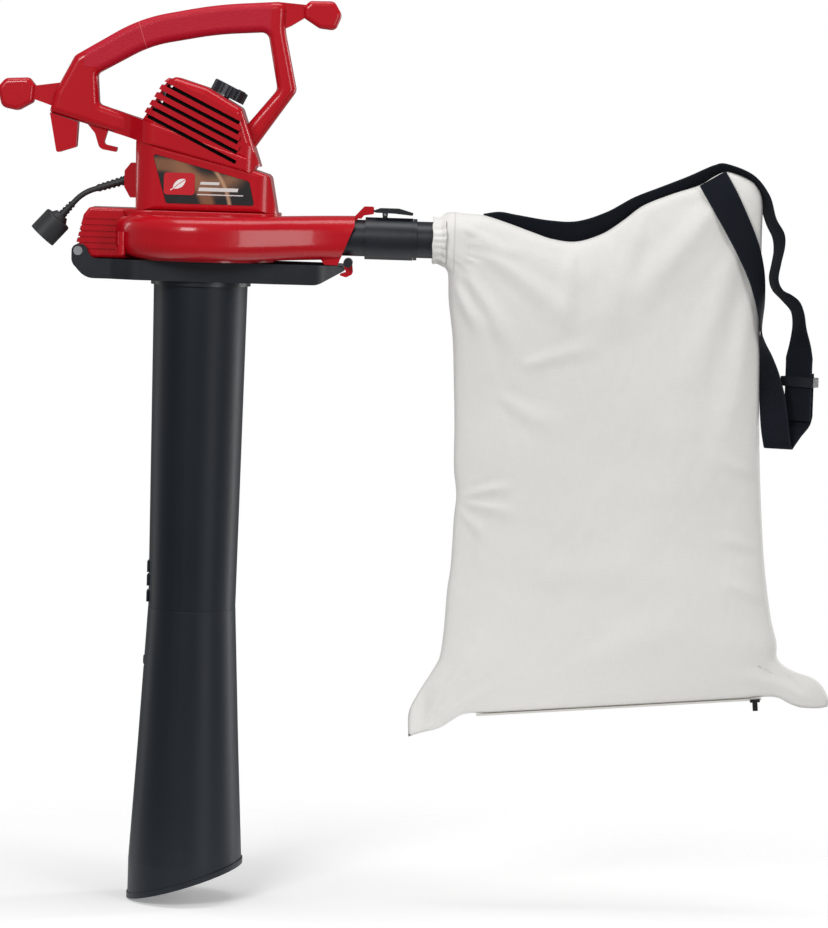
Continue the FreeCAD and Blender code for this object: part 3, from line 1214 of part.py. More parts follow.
long_strap = ribbon(STRAP_TOP, WEBBING_THICK, strap_low, strap_high)
save("strap_long", long_strap.fuse(web_layer(-1, -190.0, -76.0)))
front_y = DUCT_Y - BAG_HALF - 0.4
short_strap = side_prism(STRAP_FRONT, front_y - WEBBING_THICK, front_y)
fold = box(702.0, 741.0, front_y - WEBBING_THICK, DUCT_Y, STRAP_BOTTOM, STRAP_BOTTOM + WEBBING_THICK)
save("strap_short", short_strap.fuse([fold, web_layer(1, STRAP_BOTTOM, -96.0)]))

slot_half = WEBBING / 2 + SLIP_CLEARANCE
slider_half = slot_half + 4
slider = box(-slider_half, slider_half, -6.5, 6.5, SLIDER_Z - SLIDER_HALF, SLIDER_Z + SLIDER_HALF)
for side in (-1, 1):
    near = side * (WEB_GAP - SLIP_CLEARANCE)
    far = side * (WEB_GAP + WEBBING_THICK + SLIP_CLEARANCE)
    slider = slider.cut(box(-slot_half, slot_half, min(near, far), max(near, far), -FAR, FAR))
save("strap_slider", at_slider(slider))


# ---- zip along the floor of the bag ----
ZIP_DROP = 0.4  # from the floor of the bag to the chain
ZIP_HALF = 3.0
ZIP_THICK = 2.4
ZIP_PULL = 13.0
floor_start = xz(*BAG_FLOOR_START)
floor_line = xz(*BAG_FLOOR_END) - floor_start
floor_length = floor_line.Length
floor_angle = math.degrees(math.atan2(floor_line.z, floor_line.x))
ZIP_MARGIN = 16.0


def on_floor(solid):
    """Place a solid built along +X from the rear end of the bag's floor, outside at -Z."""
    solid.rotate(ORIGIN, Y_AXIS, -floor_angle)
    solid.translate(V(floor_start.x, DUCT_Y, floor_start.z))
    return solid


chain_low = -ZIP_DROP - ZIP_THICK
chain = box(ZIP_MARGIN, floor_length - ZIP_MARGIN, -ZIP_HALF, ZIP_HALF, chain_low, -ZIP_DROP)
save("zip_chain", on_floor(chain))
zip_x = floor_length - ZIP_MARGIN - 14
body = box(zip_x, zip_x + 12, -ZIP_HALF - 2, ZIP_HALF + 2, chain_low - 2.2, -ZIP_DROP - 0.6)
way = ZIP_HALF + SLIP_CLEARANCE
body = body.cut(box(0, FAR, -way, way, chain_low - SLIP_CLEARANCE, 0))
pull = box(zip_x + 3, zip_x + 9, -3.5, 3.5, chain_low - ZIP_PULL, chain_low - 2.0)
save("zip_slider", on_floor(body.fuse(pull)))
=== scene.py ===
"""A hand-held leaf vacuum mulcher: red power head, dark suction tube, canvas bag on a strap."""

import bpy
import math
import numpy as np
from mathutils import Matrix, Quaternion, Vector, noise


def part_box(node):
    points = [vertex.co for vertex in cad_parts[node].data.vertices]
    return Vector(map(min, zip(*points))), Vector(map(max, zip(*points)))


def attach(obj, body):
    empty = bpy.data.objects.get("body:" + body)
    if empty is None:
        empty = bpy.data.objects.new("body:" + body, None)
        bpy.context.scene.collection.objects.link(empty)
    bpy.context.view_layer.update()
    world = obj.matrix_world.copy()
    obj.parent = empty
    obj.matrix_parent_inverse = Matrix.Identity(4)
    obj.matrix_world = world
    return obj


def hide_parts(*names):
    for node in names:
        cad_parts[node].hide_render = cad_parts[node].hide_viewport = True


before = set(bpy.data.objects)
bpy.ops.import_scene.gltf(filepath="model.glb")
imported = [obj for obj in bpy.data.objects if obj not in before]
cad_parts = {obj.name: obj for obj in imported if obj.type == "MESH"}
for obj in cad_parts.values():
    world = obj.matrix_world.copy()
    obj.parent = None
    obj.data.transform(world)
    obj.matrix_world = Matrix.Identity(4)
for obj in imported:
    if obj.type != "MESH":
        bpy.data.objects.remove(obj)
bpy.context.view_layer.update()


# ---- studio ----
# A pale floor that fades into white, broad soft boxes and a long lens. The machine stands
# on the rim of its nozzle, and the camera rolls a little, so that it leans to the right.
bpy.ops.object.select_all(action="DESELECT")
lens_aim = Vector((0.2690, 0.0, -0.1426))
lens_place = Vector((0.2690, -5.0, 0.1824))
bpy.ops.object.camera_add(location=lens_place)
camera = bpy.context.object
camera.data.lens = 156.0
camera.data.sensor_width = 36.0
camera.data.shift_y = -0.086
camera.rotation_mode = "QUATERNION"
level = (lens_aim - lens_place).to_track_quat("-Z", "Y")
camera_roll = math.radians(1.8)
camera.rotation_quaternion = level @ Quaternion((0, 0, 1), camera_roll)
bpy.context.scene.camera = camera
bpy.context.scene.view_settings.view_transform = "Standard"


def soft_box(name, place, target, wide, high, power):
    """A rectangular area lamp turned to the machine."""
    bpy.ops.object.light_add(type="AREA", location=place)
    lamp = bpy.context.object
    lamp.name = name
    lamp.data.shape = "RECTANGLE"
    lamp.data.size = wide
    lamp.data.size_y = high
    lamp.data.energy = power
    lamp.rotation_mode = "QUATERNION"
    lamp.rotation_quaternion = (Vector(target) - Vector(place)).to_track_quat("-Z", "Y")


soft_box("key_box", (-1.1, -3.3, 1.7), (0.3, 0, -0.2), 1.3, 1.3, 72)
soft_box("fill_box", (2.6, -3.0, 0.2), (0.3, 0, -0.3), 1.0, 2.2, 36)
soft_box("top_box", (0.1, -0.3, 2.3), (0.1, 0, 0), 2.2, 1.0, 30)
soft_box("rim_box_right", (2.4, 1.2, 0.0), (0.1, 0, -0.3), 0.5, 2.2, 30)
soft_box("rim_box_left", (-2.4, 1.2, 0.1), (0.1, 0, -0.2), 0.4, 2.2, 10)

# the backdrop is white to look at, and dimmer as a light
world = bpy.data.worlds.new("white_room")
bpy.context.scene.world = world
world.use_nodes = True
room = world.node_tree
room_light = room.nodes["Background"]
room_light.inputs["Color"].default_value = (1.0, 1.0, 1.0, 1.0)
room_light.inputs["Strength"].default_value = 0.24
backdrop = room.nodes.new("ShaderNodeBackground")
backdrop.inputs["Color"].default_value = (1.0, 1.0, 1.0, 1.0)
backdrop.inputs["Strength"].default_value = 1.0
seen_first = room.nodes.new("ShaderNodeLightPath")
either = room.nodes.new("ShaderNodeMixShader")
room.links.new(seen_first.outputs["Is Camera Ray"], either.inputs[0])
room.links.new(room_light.outputs[0], either.inputs[1])
room.links.new(backdrop.outputs[0], either.inputs[2])
room.links.new(either.outputs[0], room.nodes["World Output"].inputs["Surface"])


class Wire:
    """A shader socket that does its own sums, adding the Math node each one needs."""

    def __init__(self, finish, socket):
        self.finish = finish
        self.socket = socket

    def maths(self, operation, *terms):
        return self.finish.add("Math", {"operation": operation}, dict(enumerate(terms)))

    def __add__(self, other):
        return self.maths("ADD", self, other)

    __radd__ = __add__

    def __sub__(self, other):
        return self.maths("SUBTRACT", self, other)

    def __rsub__(self, other):
        return self.maths("SUBTRACT", other, self)

    def __mul__(self, other):
        return self.maths("MULTIPLY", self, other)

    __rmul__ = __mul__

    def __abs__(self):
        return self.maths("ABSOLUTE", self)

    def sine(self):
        return self.maths("SINE", self)

    def root(self):
        return self.maths("SQRT", self)

    def least(self, other):
        return self.maths("MINIMUM", self, other)

    def rise(self, low, high):
        """0 below low, 1 above high, and smooth between."""
        settings = {"interpolation_type": "SMOOTHSTEP"}
        return self.finish.add("MapRange", settings, {0: self, 1: low, 2: high, 3: 0.0, 4: 1.0})

    def within(self, low, high, soft):
        """1 between low and high, with soft edges."""
        return self.rise(low - soft, low) * (1 - self.rise(high, high + soft))


class Finish:
    """A material being made: its node tree, and the one way that nodes are added to it."""

    def __init__(self, name):
        self.material = bpy.data.materials.new(name)
        self.material.use_nodes = True
        self.tree = self.material.node_tree
        self.tree.nodes.clear()

    def add(self, kind, settings=None, inputs=None, out=0):
        made = self.tree.nodes.new("ShaderNode" + kind)
        for key, value in (settings or {}).items():
            setattr(made, key, value)
        for key, value in (inputs or {}).items():
            if isinstance(value, Wire):
                self.tree.links.new(value.socket, made.inputs[key])
            else:
                made.inputs[key].default_value = value
        return Wire(self, made.outputs[out]) if made.outputs else None

    def place(self, layer=None):
        """x, y, z of the object, or of one of its own UV maps."""
        if layer:
            spot = self.add("UVMap", {"uv_map": layer})
        else:
            spot = self.add("TexCoord", out="Object")
        return spot, [self.add("SeparateXYZ", None, {0: spot}, out=i) for i in range(3)]

    def stretched(self, spot, scale, turn=(0.0, 0.0, 0.0)):
        return self.add("Mapping", None, {"Vector": spot, "Scale": scale, "Rotation": turn})

    def noise(self, spot, scale, detail=2.0, rough=0.5):
        inputs = {"Vector": spot, "Scale": scale, "Detail": detail, "Roughness": rough}
        return self.add("TexNoise", None, inputs)

    def mix(self, share, first, second):
        """One colour laid over another."""
        first = first if isinstance(first, Wire) else (*first, 1.0)
        second = second if isinstance(second, Wire) else (*second, 1.0)
        return self.add("Mix", {"data_type": "RGBA"}, {0: share, 6: first, 7: second}, out=2)

    def bump(self, height, strength, distance, normal=None):
        inputs = {"Height": height, "Strength": strength, "Distance": distance}
        if normal:
            inputs["Normal"] = normal
        return self.add("Bump", None, inputs)

    def surface(self, changing, steady):
        """The shader and its output: what changes over the surface, and what doesn't."""
        self.finished(self.add("BsdfPrincipled", None, {**changing, **steady}))
        return self.material

    def finished(self, shader):
        self.add("OutputMaterial", None, {"Surface": shader})


def paint(material, *nodes):
    """Give CAD nodes or new pieces one finish all over."""
    for node in nodes:
        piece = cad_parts[node] if isinstance(node, str) else node
        piece.data.materials.clear()
        piece.data.materials.append(material)


floor_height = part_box("vac_tube_lower")[0].z - 0.0005
bpy.ops.object.select_all(action="DESELECT")
bpy.ops.mesh.primitive_circle_add(
    vertices=96, radius=4.0, fill_type="NGON", location=(0, 0, floor_height),
)
floor = bpy.context.object
floor.name = "studio_floor"
floor.data.transform(floor.matrix_world)
floor.matrix_world.identity()
sweep = Finish("studio_floor_white")
spot, (x, y, z) = sweep.place()
away = ((x - 0.2) * (x - 0.2) * 0.6 + y * y).root()
paper = sweep.add("BsdfPrincipled", None, {
    "Base Color": (0.93, 0.93, 0.93, 1), "Roughness": 0.7,
    "Emission Color": (1, 1, 1, 1), "Emission Strength": 0.22,
})
nothing = sweep.add("BsdfTransparent")
faded = sweep.add("MixShader", None, {0: away.rise(0.25, 0.85), 1: paper, 2: nothing})
sweep.finished(faded)
floor.data.materials.append(sweep.material)


# ---- power cord ----
# The pigtail that leaves the housing through a ribbed sleeve and ends in a hooded plug.
# A 7 mm round rubber-covered lead with a fine grain and a dull bloom.
CORD_ROUTE = [
    (-0.12425, 0.0, 0.09122), (-0.13185, 0.0, 0.08875), (-0.14040, 0.0, 0.08598),
    (-0.14835, 0.0, 0.08175), (-0.15544, 0.0, 0.07621), (-0.16146, 0.0, 0.06952),
    (-0.16548, 0.0, 0.06506),
]
bpy.ops.object.select_all(action="DESELECT")
lead_curve = bpy.data.curves.new("power_cord", "CURVE")
lead_curve.dimensions = "3D"
lead_line = lead_curve.splines.new("NURBS")
lead_line.points.add(len(CORD_ROUTE) - 1)
for point, spot in zip(lead_line.points, CORD_ROUTE):
    point.co = (*spot, 1.0)
lead_line.order_u = 3
lead_line.use_endpoint_u = True
lead_line.resolution_u = 12
lead_curve.bevel_depth = 0.0035
lead_curve.bevel_resolution = 6
lead_curve.use_fill_caps = True
power_cord = bpy.data.objects.new("power_cord", lead_curve)
bpy.context.scene.collection.objects.link(power_cord)

rubber = Finish("cord_rubber")
spot, (x, y, z) = rubber.place()
bloom = rubber.noise(spot, 60, 4)
grain = rubber.noise(spot, 1800, 3)
rubber.surface(
    {
        "Base Color": rubber.mix(bloom, (0.010, 0.011, 0.013), (0.028, 0.030, 0.034)),
        "Roughness": 0.42 + bloom * 0.22,
        "Normal": rubber.bump(grain, 0.25, 0.0004),
    },
    {"Specular IOR Level": 0.5},
)
paint(rubber.material, "relief_machine", "relief_plug", "plug_body")
lead_curve.materials.append(rubber.material)
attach(power_cord, "machine")
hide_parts("cord")


# ---- red power head ----
# The clamshell motor housing with its loop handle, and the scroll below it. Injection
# moulded in deep red plastic, glossy, with a finely textured band where the hand holds it.
red = Finish("red_shell_gloss")
spot, (x, y, z) = red.place()
depth_of_red = red.noise(spot, 9, 3)
peel = red.noise(spot, 320, 2)
ripple = red.noise(spot, 26, 1)
scuffs = red.noise(red.stretched(spot, (260, 260, 24), (0.3, 0.6, 0.2)), 1.0, 5, 0.7).rise(0.62, 0.74)
pebble = red.add("TexVoronoi", {"feature": "F1"}, {"Vector": spot, "Scale": 900.0})
hand_side = x.within(-0.150, 0.078, 0.001) * z.rise(0.2380, 0.2400)
grip = hand_side * (z - x * 0.27).rise(0.262, 0.264)
seam = (x + z * 0.33 - 0.0130).within(-0.0003, 0.0003, 0.0002) * z.rise(0.262, 0.264)
shade = red.mix(depth_of_red, (0.430, 0.0022, 0.0090), (0.510, 0.0028, 0.0115))
shade = red.mix(grip * 0.8, shade, (0.470, 0.0030, 0.0230))
shade = red.mix(scuffs * 0.04, shade, (0.70, 0.15, 0.15))
shade = red.mix(seam * 0.5, shade, (0.70, 0.20, 0.22))
smooth = red.bump(peel * 0.35 + ripple, 0.10, 0.0012)
red.surface(
    {
        "Base Color": shade,
        "Roughness": 0.24 + depth_of_red * 0.05 + scuffs * 0.12 + grip * 0.24,
        "Normal": red.bump(pebble * grip, 0.6, 0.0004, smooth),
        "Coat Weight": 0.30 - grip * 0.28,
    },
    {"Coat Roughness": 0.05, "Specular IOR Level": 0.26, "IOR": 1.5},
)
paint(
    red.material, "housing_left", "housing_right", "volute_upper", "volute_lower",
    "cord_keeper", "cord_hook", "frame_latch",
)


# ---- side labels ----
# A printed plate lies in each side window: near black with copper rings of light, three
# pale dashes, and a raised red badge with a white leaf on it.
def distance(u, v):
    return (u * u + v * v).root()


plate = Finish("label_print")
spot, (x, y, z) = plate.place()
far_ring = distance(x + 0.052, z - 0.060)
near_ring = distance(x - 0.012, z - 0.140)
glow = (1 - (near_ring - 0.050).rise(-0.022, 0.012)) * near_ring.rise(0.024, 0.046)
swoosh = far_ring.within(0.058, 0.066, 0.008) * 0.7
sweep_low = far_ring.within(0.088, 0.089, 0.003) * 0.8
fleck = plate.noise(spot, 700, 2) * 0.25 + 0.85
slant = x - z * 0.25
dashes = (
    z.within(0.0985, 0.1015, 0.0004) * slant.within(-0.026, -0.003, 0.0004)
    + z.within(0.0905, 0.0945, 0.0004) * slant.within(-0.026, 0.022, 0.0004)
    + z.within(0.0855, 0.0865, 0.0003) * slant.within(-0.026, 0.030, 0.0004)
)
ink = plate.mix(glow * fleck, (0.012, 0.011, 0.012), (0.42, 0.20, 0.10))
ink = plate.mix(swoosh * fleck, ink, (0.30, 0.13, 0.06))
ink = plate.mix(sweep_low * fleck, ink, (0.55, 0.33, 0.20))
ink = plate.mix(dashes.least(1.0), ink, (0.70, 0.70, 0.68))
plate.surface(
    {"Base Color": ink, "Roughness": 0.22 + plate.noise(spot, 90, 3) * 0.12, "Coat Weight": 0.4 + glow * 0.2},
    {"Coat Roughness": 0.05},
)
paint(plate.material, "label_left", "label_right")

badge_x, badge_z = -0.027, 0.0985
emblem = Finish("badge_print")
spot, (x, y, z) = emblem.place()
u = (x - badge_x) * 0.80 + (z - badge_z) * 0.60
v = (z - badge_z) * 0.80 - (x - badge_x) * 0.60
leaf_above = distance(u, v + 0.0075)
leaf_below = distance(u, v - 0.0075)
leaf = (1 - leaf_above.rise(0.0120, 0.0124)) * (1 - leaf_below.rise(0.0120, 0.0124))
midrib = abs(v).rise(0.0003, 0.0006)
stalk = abs(v).within(-1.0, 0.0004, 0.0002) * u.within(-0.0135, -0.008, 0.0003)
badge_red = emblem.mix(emblem.noise(spot, 30, 2), (0.50, 0.010, 0.020), (0.62, 0.014, 0.024))
print_white = (leaf * midrib + stalk).least(1.0)
emblem.surface(
    {
        "Base Color": emblem.mix(print_white, badge_red, (0.86, 0.86, 0.84)),
        "Roughness": 0.18 + print_white * 0.1,
        "Normal": emblem.bump(print_white, 0.2, 0.0003),
    },
    {"Coat Weight": 0.5, "Coat Roughness": 0.05},
)
paint(emblem.material, "badge_left", "badge_right")


# ---- dark moulded fittings ----
# The inlet frame under the scroll, its latch pin, the outlet pipes with their release
# latch, the speed dial, the strap slider and the cooling fan inside the tower: satin
# black plastic with a fine spark grain.
black = Finish("black_satin_plastic")
spot, (x, y, z) = black.place()
grain = black.noise(spot, 1400, 3)
handled = black.noise(spot, 22, 4)
rub = black.noise(black.stretched(spot, (40, 300, 300)), 1.0, 4, 0.7).rise(0.60, 0.75)
black.surface(
    {
        "Base Color": black.mix(handled, (0.0075, 0.0095, 0.0135), (0.0130, 0.0165, 0.0230)),
        "Roughness": 0.30 + handled * 0.12 + rub * 0.10,
        "Normal": black.bump(grain, 0.22, 0.0004),
    },
    {"Specular IOR Level": 0.42},
)
paint(
    black.material, "inlet_frame", "latch_pin", "outlet_adapter", "bag_tube", "release_latch",
    "speed_dial", "strap_slider", "cooling_fan",
)


# ---- dark sheet behind the louvres, painted shade ----
# A near-black sheet bent round the inside of the tower, behind the louvres of both sides: painted shade,
# which keeps the slots dark inside. Its top follows the roof of the tower.
sheet_front = 0.0560
sheet_side = 0.0428
sheet_bottom = 0.1220
bend_x, bend_y, bend_radius = -0.0520, -0.0263, 0.0165
bend_steps = 12
bpy.ops.object.select_all(action="DESELECT")
bpy.ops.mesh.primitive_grid_add(x_subdivisions=72, y_subdivisions=6, size=1.0)
vent_shade_sheet = bpy.context.object
vent_shade_sheet.name = "vent_shade_sheet"
sheet_path = [(sheet_front, -sheet_side)]
for step in range(bend_steps + 1):
    turn = math.radians(90 * step / bend_steps)
    sheet_path.append((bend_x - bend_radius * math.sin(turn), bend_y - bend_radius * math.cos(turn)))
sheet_path += [(x, -y) for x, y in reversed(sheet_path)]
sheet_run = [0.0]
for (x0, y0), (x1, y1) in zip(sheet_path, sheet_path[1:]):
    sheet_run.append(sheet_run[-1] + math.hypot(x1 - x0, y1 - y0))
ROOF_X = (-0.0700, -0.0615, -0.0600, -0.0495, -0.0480, -0.0350, 0.0040, 0.0440, 0.0560)
ROOF_Z = (0.1740, 0.1880, 0.1900, 0.1980, 0.2080, 0.2210, 0.2105, 0.1880, 0.1500)
for corner in vent_shade_sheet.data.vertices:
    at = (corner.co.x + 0.5) * sheet_run[-1]
    x = np.interp(at, sheet_run, [p[0] for p in sheet_path])
    y = np.interp(at, sheet_run, [p[1] for p in sheet_path])
    roof = np.interp(x, ROOF_X, ROOF_Z)
    corner.co = (x, y, sheet_bottom + (corner.co.y + 0.5) * (roof - sheet_bottom))


def face_outward(weld=0.0):
    """Weld points of the active piece that meet, and turn all its faces outward."""
    bpy.ops.object.mode_set(mode="EDIT")
    bpy.ops.mesh.select_all(action="SELECT")
    if weld:
        bpy.ops.mesh.remove_doubles(threshold=weld)
    bpy.ops.mesh.normals_make_consistent(inside=False)
    bpy.ops.object.mode_set(mode="OBJECT")


def finish_with(piece, kind, name, **settings):
    """Add one modifier to the active piece and apply it."""
    modifier = piece.modifiers.new(name, kind)
    for key, value in settings.items():
        setattr(modifier, key, value)
    bpy.ops.object.modifier_apply(modifier=name)


face_outward()
finish_with(vent_shade_sheet, "SOLIDIFY", "shade_sheet_thickness", thickness=0.0008, offset=0.0)
finish_with(vent_shade_sheet, "BEVEL", "shade_sheet_edge", width=0.0002, segments=2, limit_method="ANGLE")
# Painted shade: the sheet's near-black colour, with slightly darker and lighter patches, stands in for the
# shade inside the tower; the bump gives it a fine dimpled texture.
shade_sheet = Finish("vent_painted_shade")
spot, (x, y, z) = shade_sheet.place()
shade_sheet_dimples = shade_sheet.add("TexVoronoi", {"feature": "F1"}, {"Vector": spot, "Scale": 700.0})
shade_sheet_tone = shade_sheet.noise(spot, 60, 4)
shade_sheet.surface(
    {
        "Base Color": shade_sheet.mix(shade_sheet_tone, (0.004, 0.004, 0.005), (0.010, 0.0095, 0.009)),
        "Roughness": 0.80 + shade_sheet_tone * 0.15,
        "Normal": shade_sheet.bump(shade_sheet_dimples, 0.5, 0.0004),
    },
    {"Specular IOR Level": 0.1},
)
paint(shade_sheet.material, vent_shade_sheet)
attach(vent_shade_sheet, "machine")


# ---- suction tubes ----
# Two blow-moulded tubes of blue-black polyethylene that plug together, the lower one
# flared to the nozzle. The surface is a soft satin with faint draw lines and a parting line.
tube = Finish("tube_polyethylene")
spot, (x, y, z) = tube.place()
drawn = tube.noise(tube.stretched(spot, (160, 160, 3)), 1.0, 4, 0.6)
cloud = tube.noise(spot, 7, 4)
grain = tube.noise(spot, 1100, 3)
mould_line = (x + 0.012).within(-0.00035, 0.00035, 0.0003)
front_line = mould_line * (1 - y.rise(-0.02, 0.0))
back_line = mould_line * y.rise(0.0, 0.02)
joint = z.within(-0.4313, -0.4300, 0.0003)
parting = front_line + back_line - joint * 1.5
nozzle_wear = (1 - z.rise(-0.79, -0.70)) * tube.noise(spot, 80, 5, 0.7).rise(0.55, 0.75)
tube.surface(
    {
        "Base Color": tube.mix(
            nozzle_wear * 0.35,
            tube.mix(cloud, (0.0052, 0.0088, 0.0140), (0.0082, 0.0125, 0.0190)),
            (0.030, 0.035, 0.042),
        ),
        "Roughness": 0.36 + drawn * 0.10 + cloud * 0.08 + nozzle_wear * 0.2,
        "Normal": tube.bump(grain * 0.4 + drawn * 0.5 + parting * 2.0, 0.22, 0.0006),
    },
    {"Specular IOR Level": 0.28},
)
paint(tube.material, "vac_tube_upper", "vac_tube_lower", "tube_button")


# ---- metal of the motor, shaft and pins ----
# Ground steel shaft, pins and screws, laminated stator and armature, enamelled copper
# windings, brass brush boxes and a die-cast impeller. The switches, the bearing bridge
# and the brushes share one dull dark grey.
def metal(name, dark, light, smooth, lines):
    """Bare metal with fine turning or rolling marks along the given scale."""
    bare = Finish(name)
    spot = bare.place()[0]
    marks = bare.noise(bare.stretched(spot, lines), 1.0, 4, 0.6)
    haze = bare.noise(spot, 40, 3)
    return bare.surface(
        {
            "Base Color": bare.mix(marks * 0.6 + haze * 0.4, dark, light),
            "Roughness": smooth + marks * 0.15,
            "Normal": bare.bump(marks, 0.15, 0.0003),
        },
        {"Metallic": 1.0},
    )


paint(
    metal("ground_steel", (0.42, 0.42, 0.44), (0.66, 0.66, 0.68), 0.22, (900, 900, 60)),
    "rotor_shaft", "lower_bearing", "upper_bearing", "brush_springs", "impeller_nut",
    "housing_screws", "volute_screws", "hinge_pin", "release_pin",
)
paint(
    metal("stacked_laminations", (0.16, 0.16, 0.17), (0.48, 0.48, 0.50), 0.35, (20, 20, 1600)),
    "stator_core", "armature_core",
)
paint(
    metal("enamelled_copper", (0.30, 0.10, 0.035), (0.80, 0.36, 0.16), 0.28, (60, 60, 2200)),
    "field_coils", "armature_windings",
)
paint(
    metal("commutator_copper", (0.55, 0.24, 0.12), (0.88, 0.48, 0.28), 0.18, (30, 30, 1500)),
    "commutator",
)
paint(
    metal("rolled_brass", (0.55, 0.38, 0.14), (0.80, 0.60, 0.28), 0.22, (60, 60, 900)),
    "brush_holders", "plug_blades",
)
paint(
    metal("cast_alloy", (0.40, 0.41, 0.43), (0.66, 0.67, 0.69), 0.38, (240, 240, 240)),
    "impeller",
)

moulded = Finish("switch_grey_plastic")
spot, (x, y, z) = moulded.place()
grain = moulded.noise(spot, 900, 3)
moulded.surface(
    {
        "Base Color": moulded.mix(moulded.noise(spot, 30, 3), (0.03, 0.03, 0.033), (0.06, 0.06, 0.066)),
        "Roughness": 0.48 + grain * 0.12,
        "Normal": moulded.bump(grain, 0.2, 0.0004),
    },
    {},
)
paint(
    moulded.material, "speed_switch", "bearing_bridge", "interlock_switch", "interlock_plunger",
    "brushes",
)


# ---- collection bag ----
# Two panels of unbleached cotton canvas sewn round the edge like a pillow case, gathered
# at the top corner round the outlet tube. The bottom corners stand out as soft ears.
bag_middle = -0.040
cloth_thick = 0.0011
bulge_limit = 0.0275
across, down = 130, 168
BAG_TOP = [
    (0.2870, 0.0640), (0.2945, 0.0665), (0.3040, 0.0735), (0.3180, 0.0735), (0.3300, 0.0725),
    (0.3500, 0.0710), (0.3820, 0.0615), (0.4100, 0.0520), (0.4350, 0.0445), (0.4640, 0.0425),
    (0.4950, 0.0530), (0.5200, 0.0700), (0.5440, 0.0890), (0.5780, 0.1040), (0.6130, 0.1165),
    (0.6300, 0.1275), (0.6450, 0.1340), (0.6620, 0.1300), (0.6780, 0.1230),
]
BAG_RIGHT = [
    (0.6780, 0.1230), (0.6870, 0.1120), (0.6915, 0.0960), (0.6920, 0.0490), (0.6935, -0.0400),
    (0.6955, -0.1300), (0.6990, -0.2130), (0.7035, -0.2800), (0.7100, -0.3500), (0.7200, -0.4140),
    (0.7285, -0.4460), (0.7310, -0.4680), (0.7500, -0.4815), (0.7730, -0.4890), (0.7860, -0.4980),
    (0.7955, -0.5150), (0.7950, -0.5250),
]
BAG_FLOOR = [
    (0.2755, -0.5790), (0.2930, -0.5730), (0.3150, -0.5665), (0.3430, -0.5490), (0.3760, -0.5461),
    (0.4170, -0.5425), (0.4620, -0.5385), (0.5120, -0.5341), (0.5630, -0.5296), (0.6100, -0.5254),
    (0.6520, -0.5217), (0.6900, -0.5184), (0.7280, -0.5150), (0.7480, -0.5230), (0.7620, -0.5272),
    (0.7830, -0.5275), (0.7950, -0.5250),
]
BAG_LEFT = [
    (0.2870, 0.0640), (0.2868, 0.0385), (0.2870, 0.0145), (0.2950, 0.0085), (0.3060, 0.0000),
    (0.3085, -0.0350), (0.3150, -0.0830), (0.3180, -0.1350), (0.3205, -0.1880), (0.3215, -0.2400),
    (0.3255, -0.2750), (0.3235, -0.3050), (0.3215, -0.3630), (0.3180, -0.3950), (0.3155, -0.4430),
    (0.3120, -0.4750), (0.3060, -0.4900), (0.2840, -0.5280), (0.2750, -0.5500), (0.2755, -0.5790),
]


def smooth_line(points, count):
    """Evenly spaced points along a smooth line through the given points."""
    given = np.array(points, float)
    ends = np.vstack([2 * given[0] - given[1], given, 2 * given[-1] - given[-2]])
    dense = []
    for i in range(len(given) - 1):
        a, b, c, d = ends[i], ends[i + 1], ends[i + 2], ends[i + 3]
        for t in np.linspace(0, 1, 24, endpoint=False):
            dense.append(
                0.5 * (2 * b + (c - a) * t + (2 * a - 5 * b + 4 * c - d) * t ** 2
                       + (3 * b - a - 3 * c + d) * t ** 3)
            )
    dense = np.array(dense + [given[-1]])
    run = np.concatenate([[0], np.cumsum(np.linalg.norm(np.diff(dense, axis=0), axis=1))])
    wanted = np.linspace(0, run[-1], count)
    return np.stack([np.interp(wanted, run, dense[:, k]) for k in range(given.shape[1])], axis=1)


top = smooth_line(BAG_TOP, across)
right = smooth_line(BAG_RIGHT, down)
floor_edge = smooth_line(BAG_FLOOR, across)
left = smooth_line(BAG_LEFT, down)
s = np.linspace(0, 1, across)[None, :, None]
t = np.linspace(0, 1, down)[:, None, None]
panel = (
    (1 - t) * top[None] + t * floor_edge[None] + (1 - s) * left[:, None] + s * right[:, None]
    - (1 - s) * (1 - t) * top[0] - s * (1 - t) * top[-1] - (1 - s) * t * left[-1] - s * t * right[-1]
)
px, pz = panel[..., 0], panel[..., 1]

neck_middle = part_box("bag_tube")[0].lerp(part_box("bag_tube")[1], 0.5)
neck_rows = int(np.argmax(left[:, 1] < 0.0150))
seam = np.vstack([top, right, floor_edge, left[neck_rows:]])
seam_gap = np.full(px.shape, 9.0)
for k in range(0, len(seam), 2):
    seam_gap = np.minimum(seam_gap, np.hypot(px - seam[k, 0], pz - seam[k, 1]))
seam_gap[0, :] = 0
seam_gap[-1, :] = 0
seam_gap[:, -1] = 0
seam_gap[neck_rows:, 0] = 0


def eased(value, low, high):
    """0 below low, 1 above high, and smooth between, for arrays."""
    share = np.clip((value - low) / (high - low), 0, 1)
    return share * share * (3 - 2 * share)


neck_x = 0.287
neck_radius = 0.0240
from_neck = np.hypot(px - neck_x, (pz - neck_middle.z) * 0.8)
width_of_curve = 0.0245 + 0.075 * eased(from_neck, 0.01, 0.22)
fullness = 0.0240 - 0.0015 * eased(from_neck, 0.0, 0.3)
half = fullness * np.sqrt(1 - (1 - np.clip(seam_gap / width_of_curve, 0, 1)) ** 2)
from_ears = [np.hypot(px - x, pz - z) for x, z in (BAG_FLOOR[0], BAG_FLOOR[-1])]
half = half * (0.45 + 0.55 * eased(np.minimum(*from_ears), 0.02, 0.13))
round_neck = np.sqrt(np.clip(neck_radius ** 2 - (pz - neck_middle.z) ** 2, 0, None))
at_neck = 1 - eased(px, 0.289, 0.305)
half = np.where(seam_gap > 0, half * (1 - at_neck) + np.maximum(round_neck, 0.002) * at_neck, 0)
# the cloth is kept off the end of the outlet tube, which reaches into the bag
over_tube = np.sqrt(np.clip((neck_radius + 0.0003) ** 2 - (pz - neck_middle.z) ** 2, 0, None))
half = np.where(px < 0.324, np.maximum(half, over_tube), half)

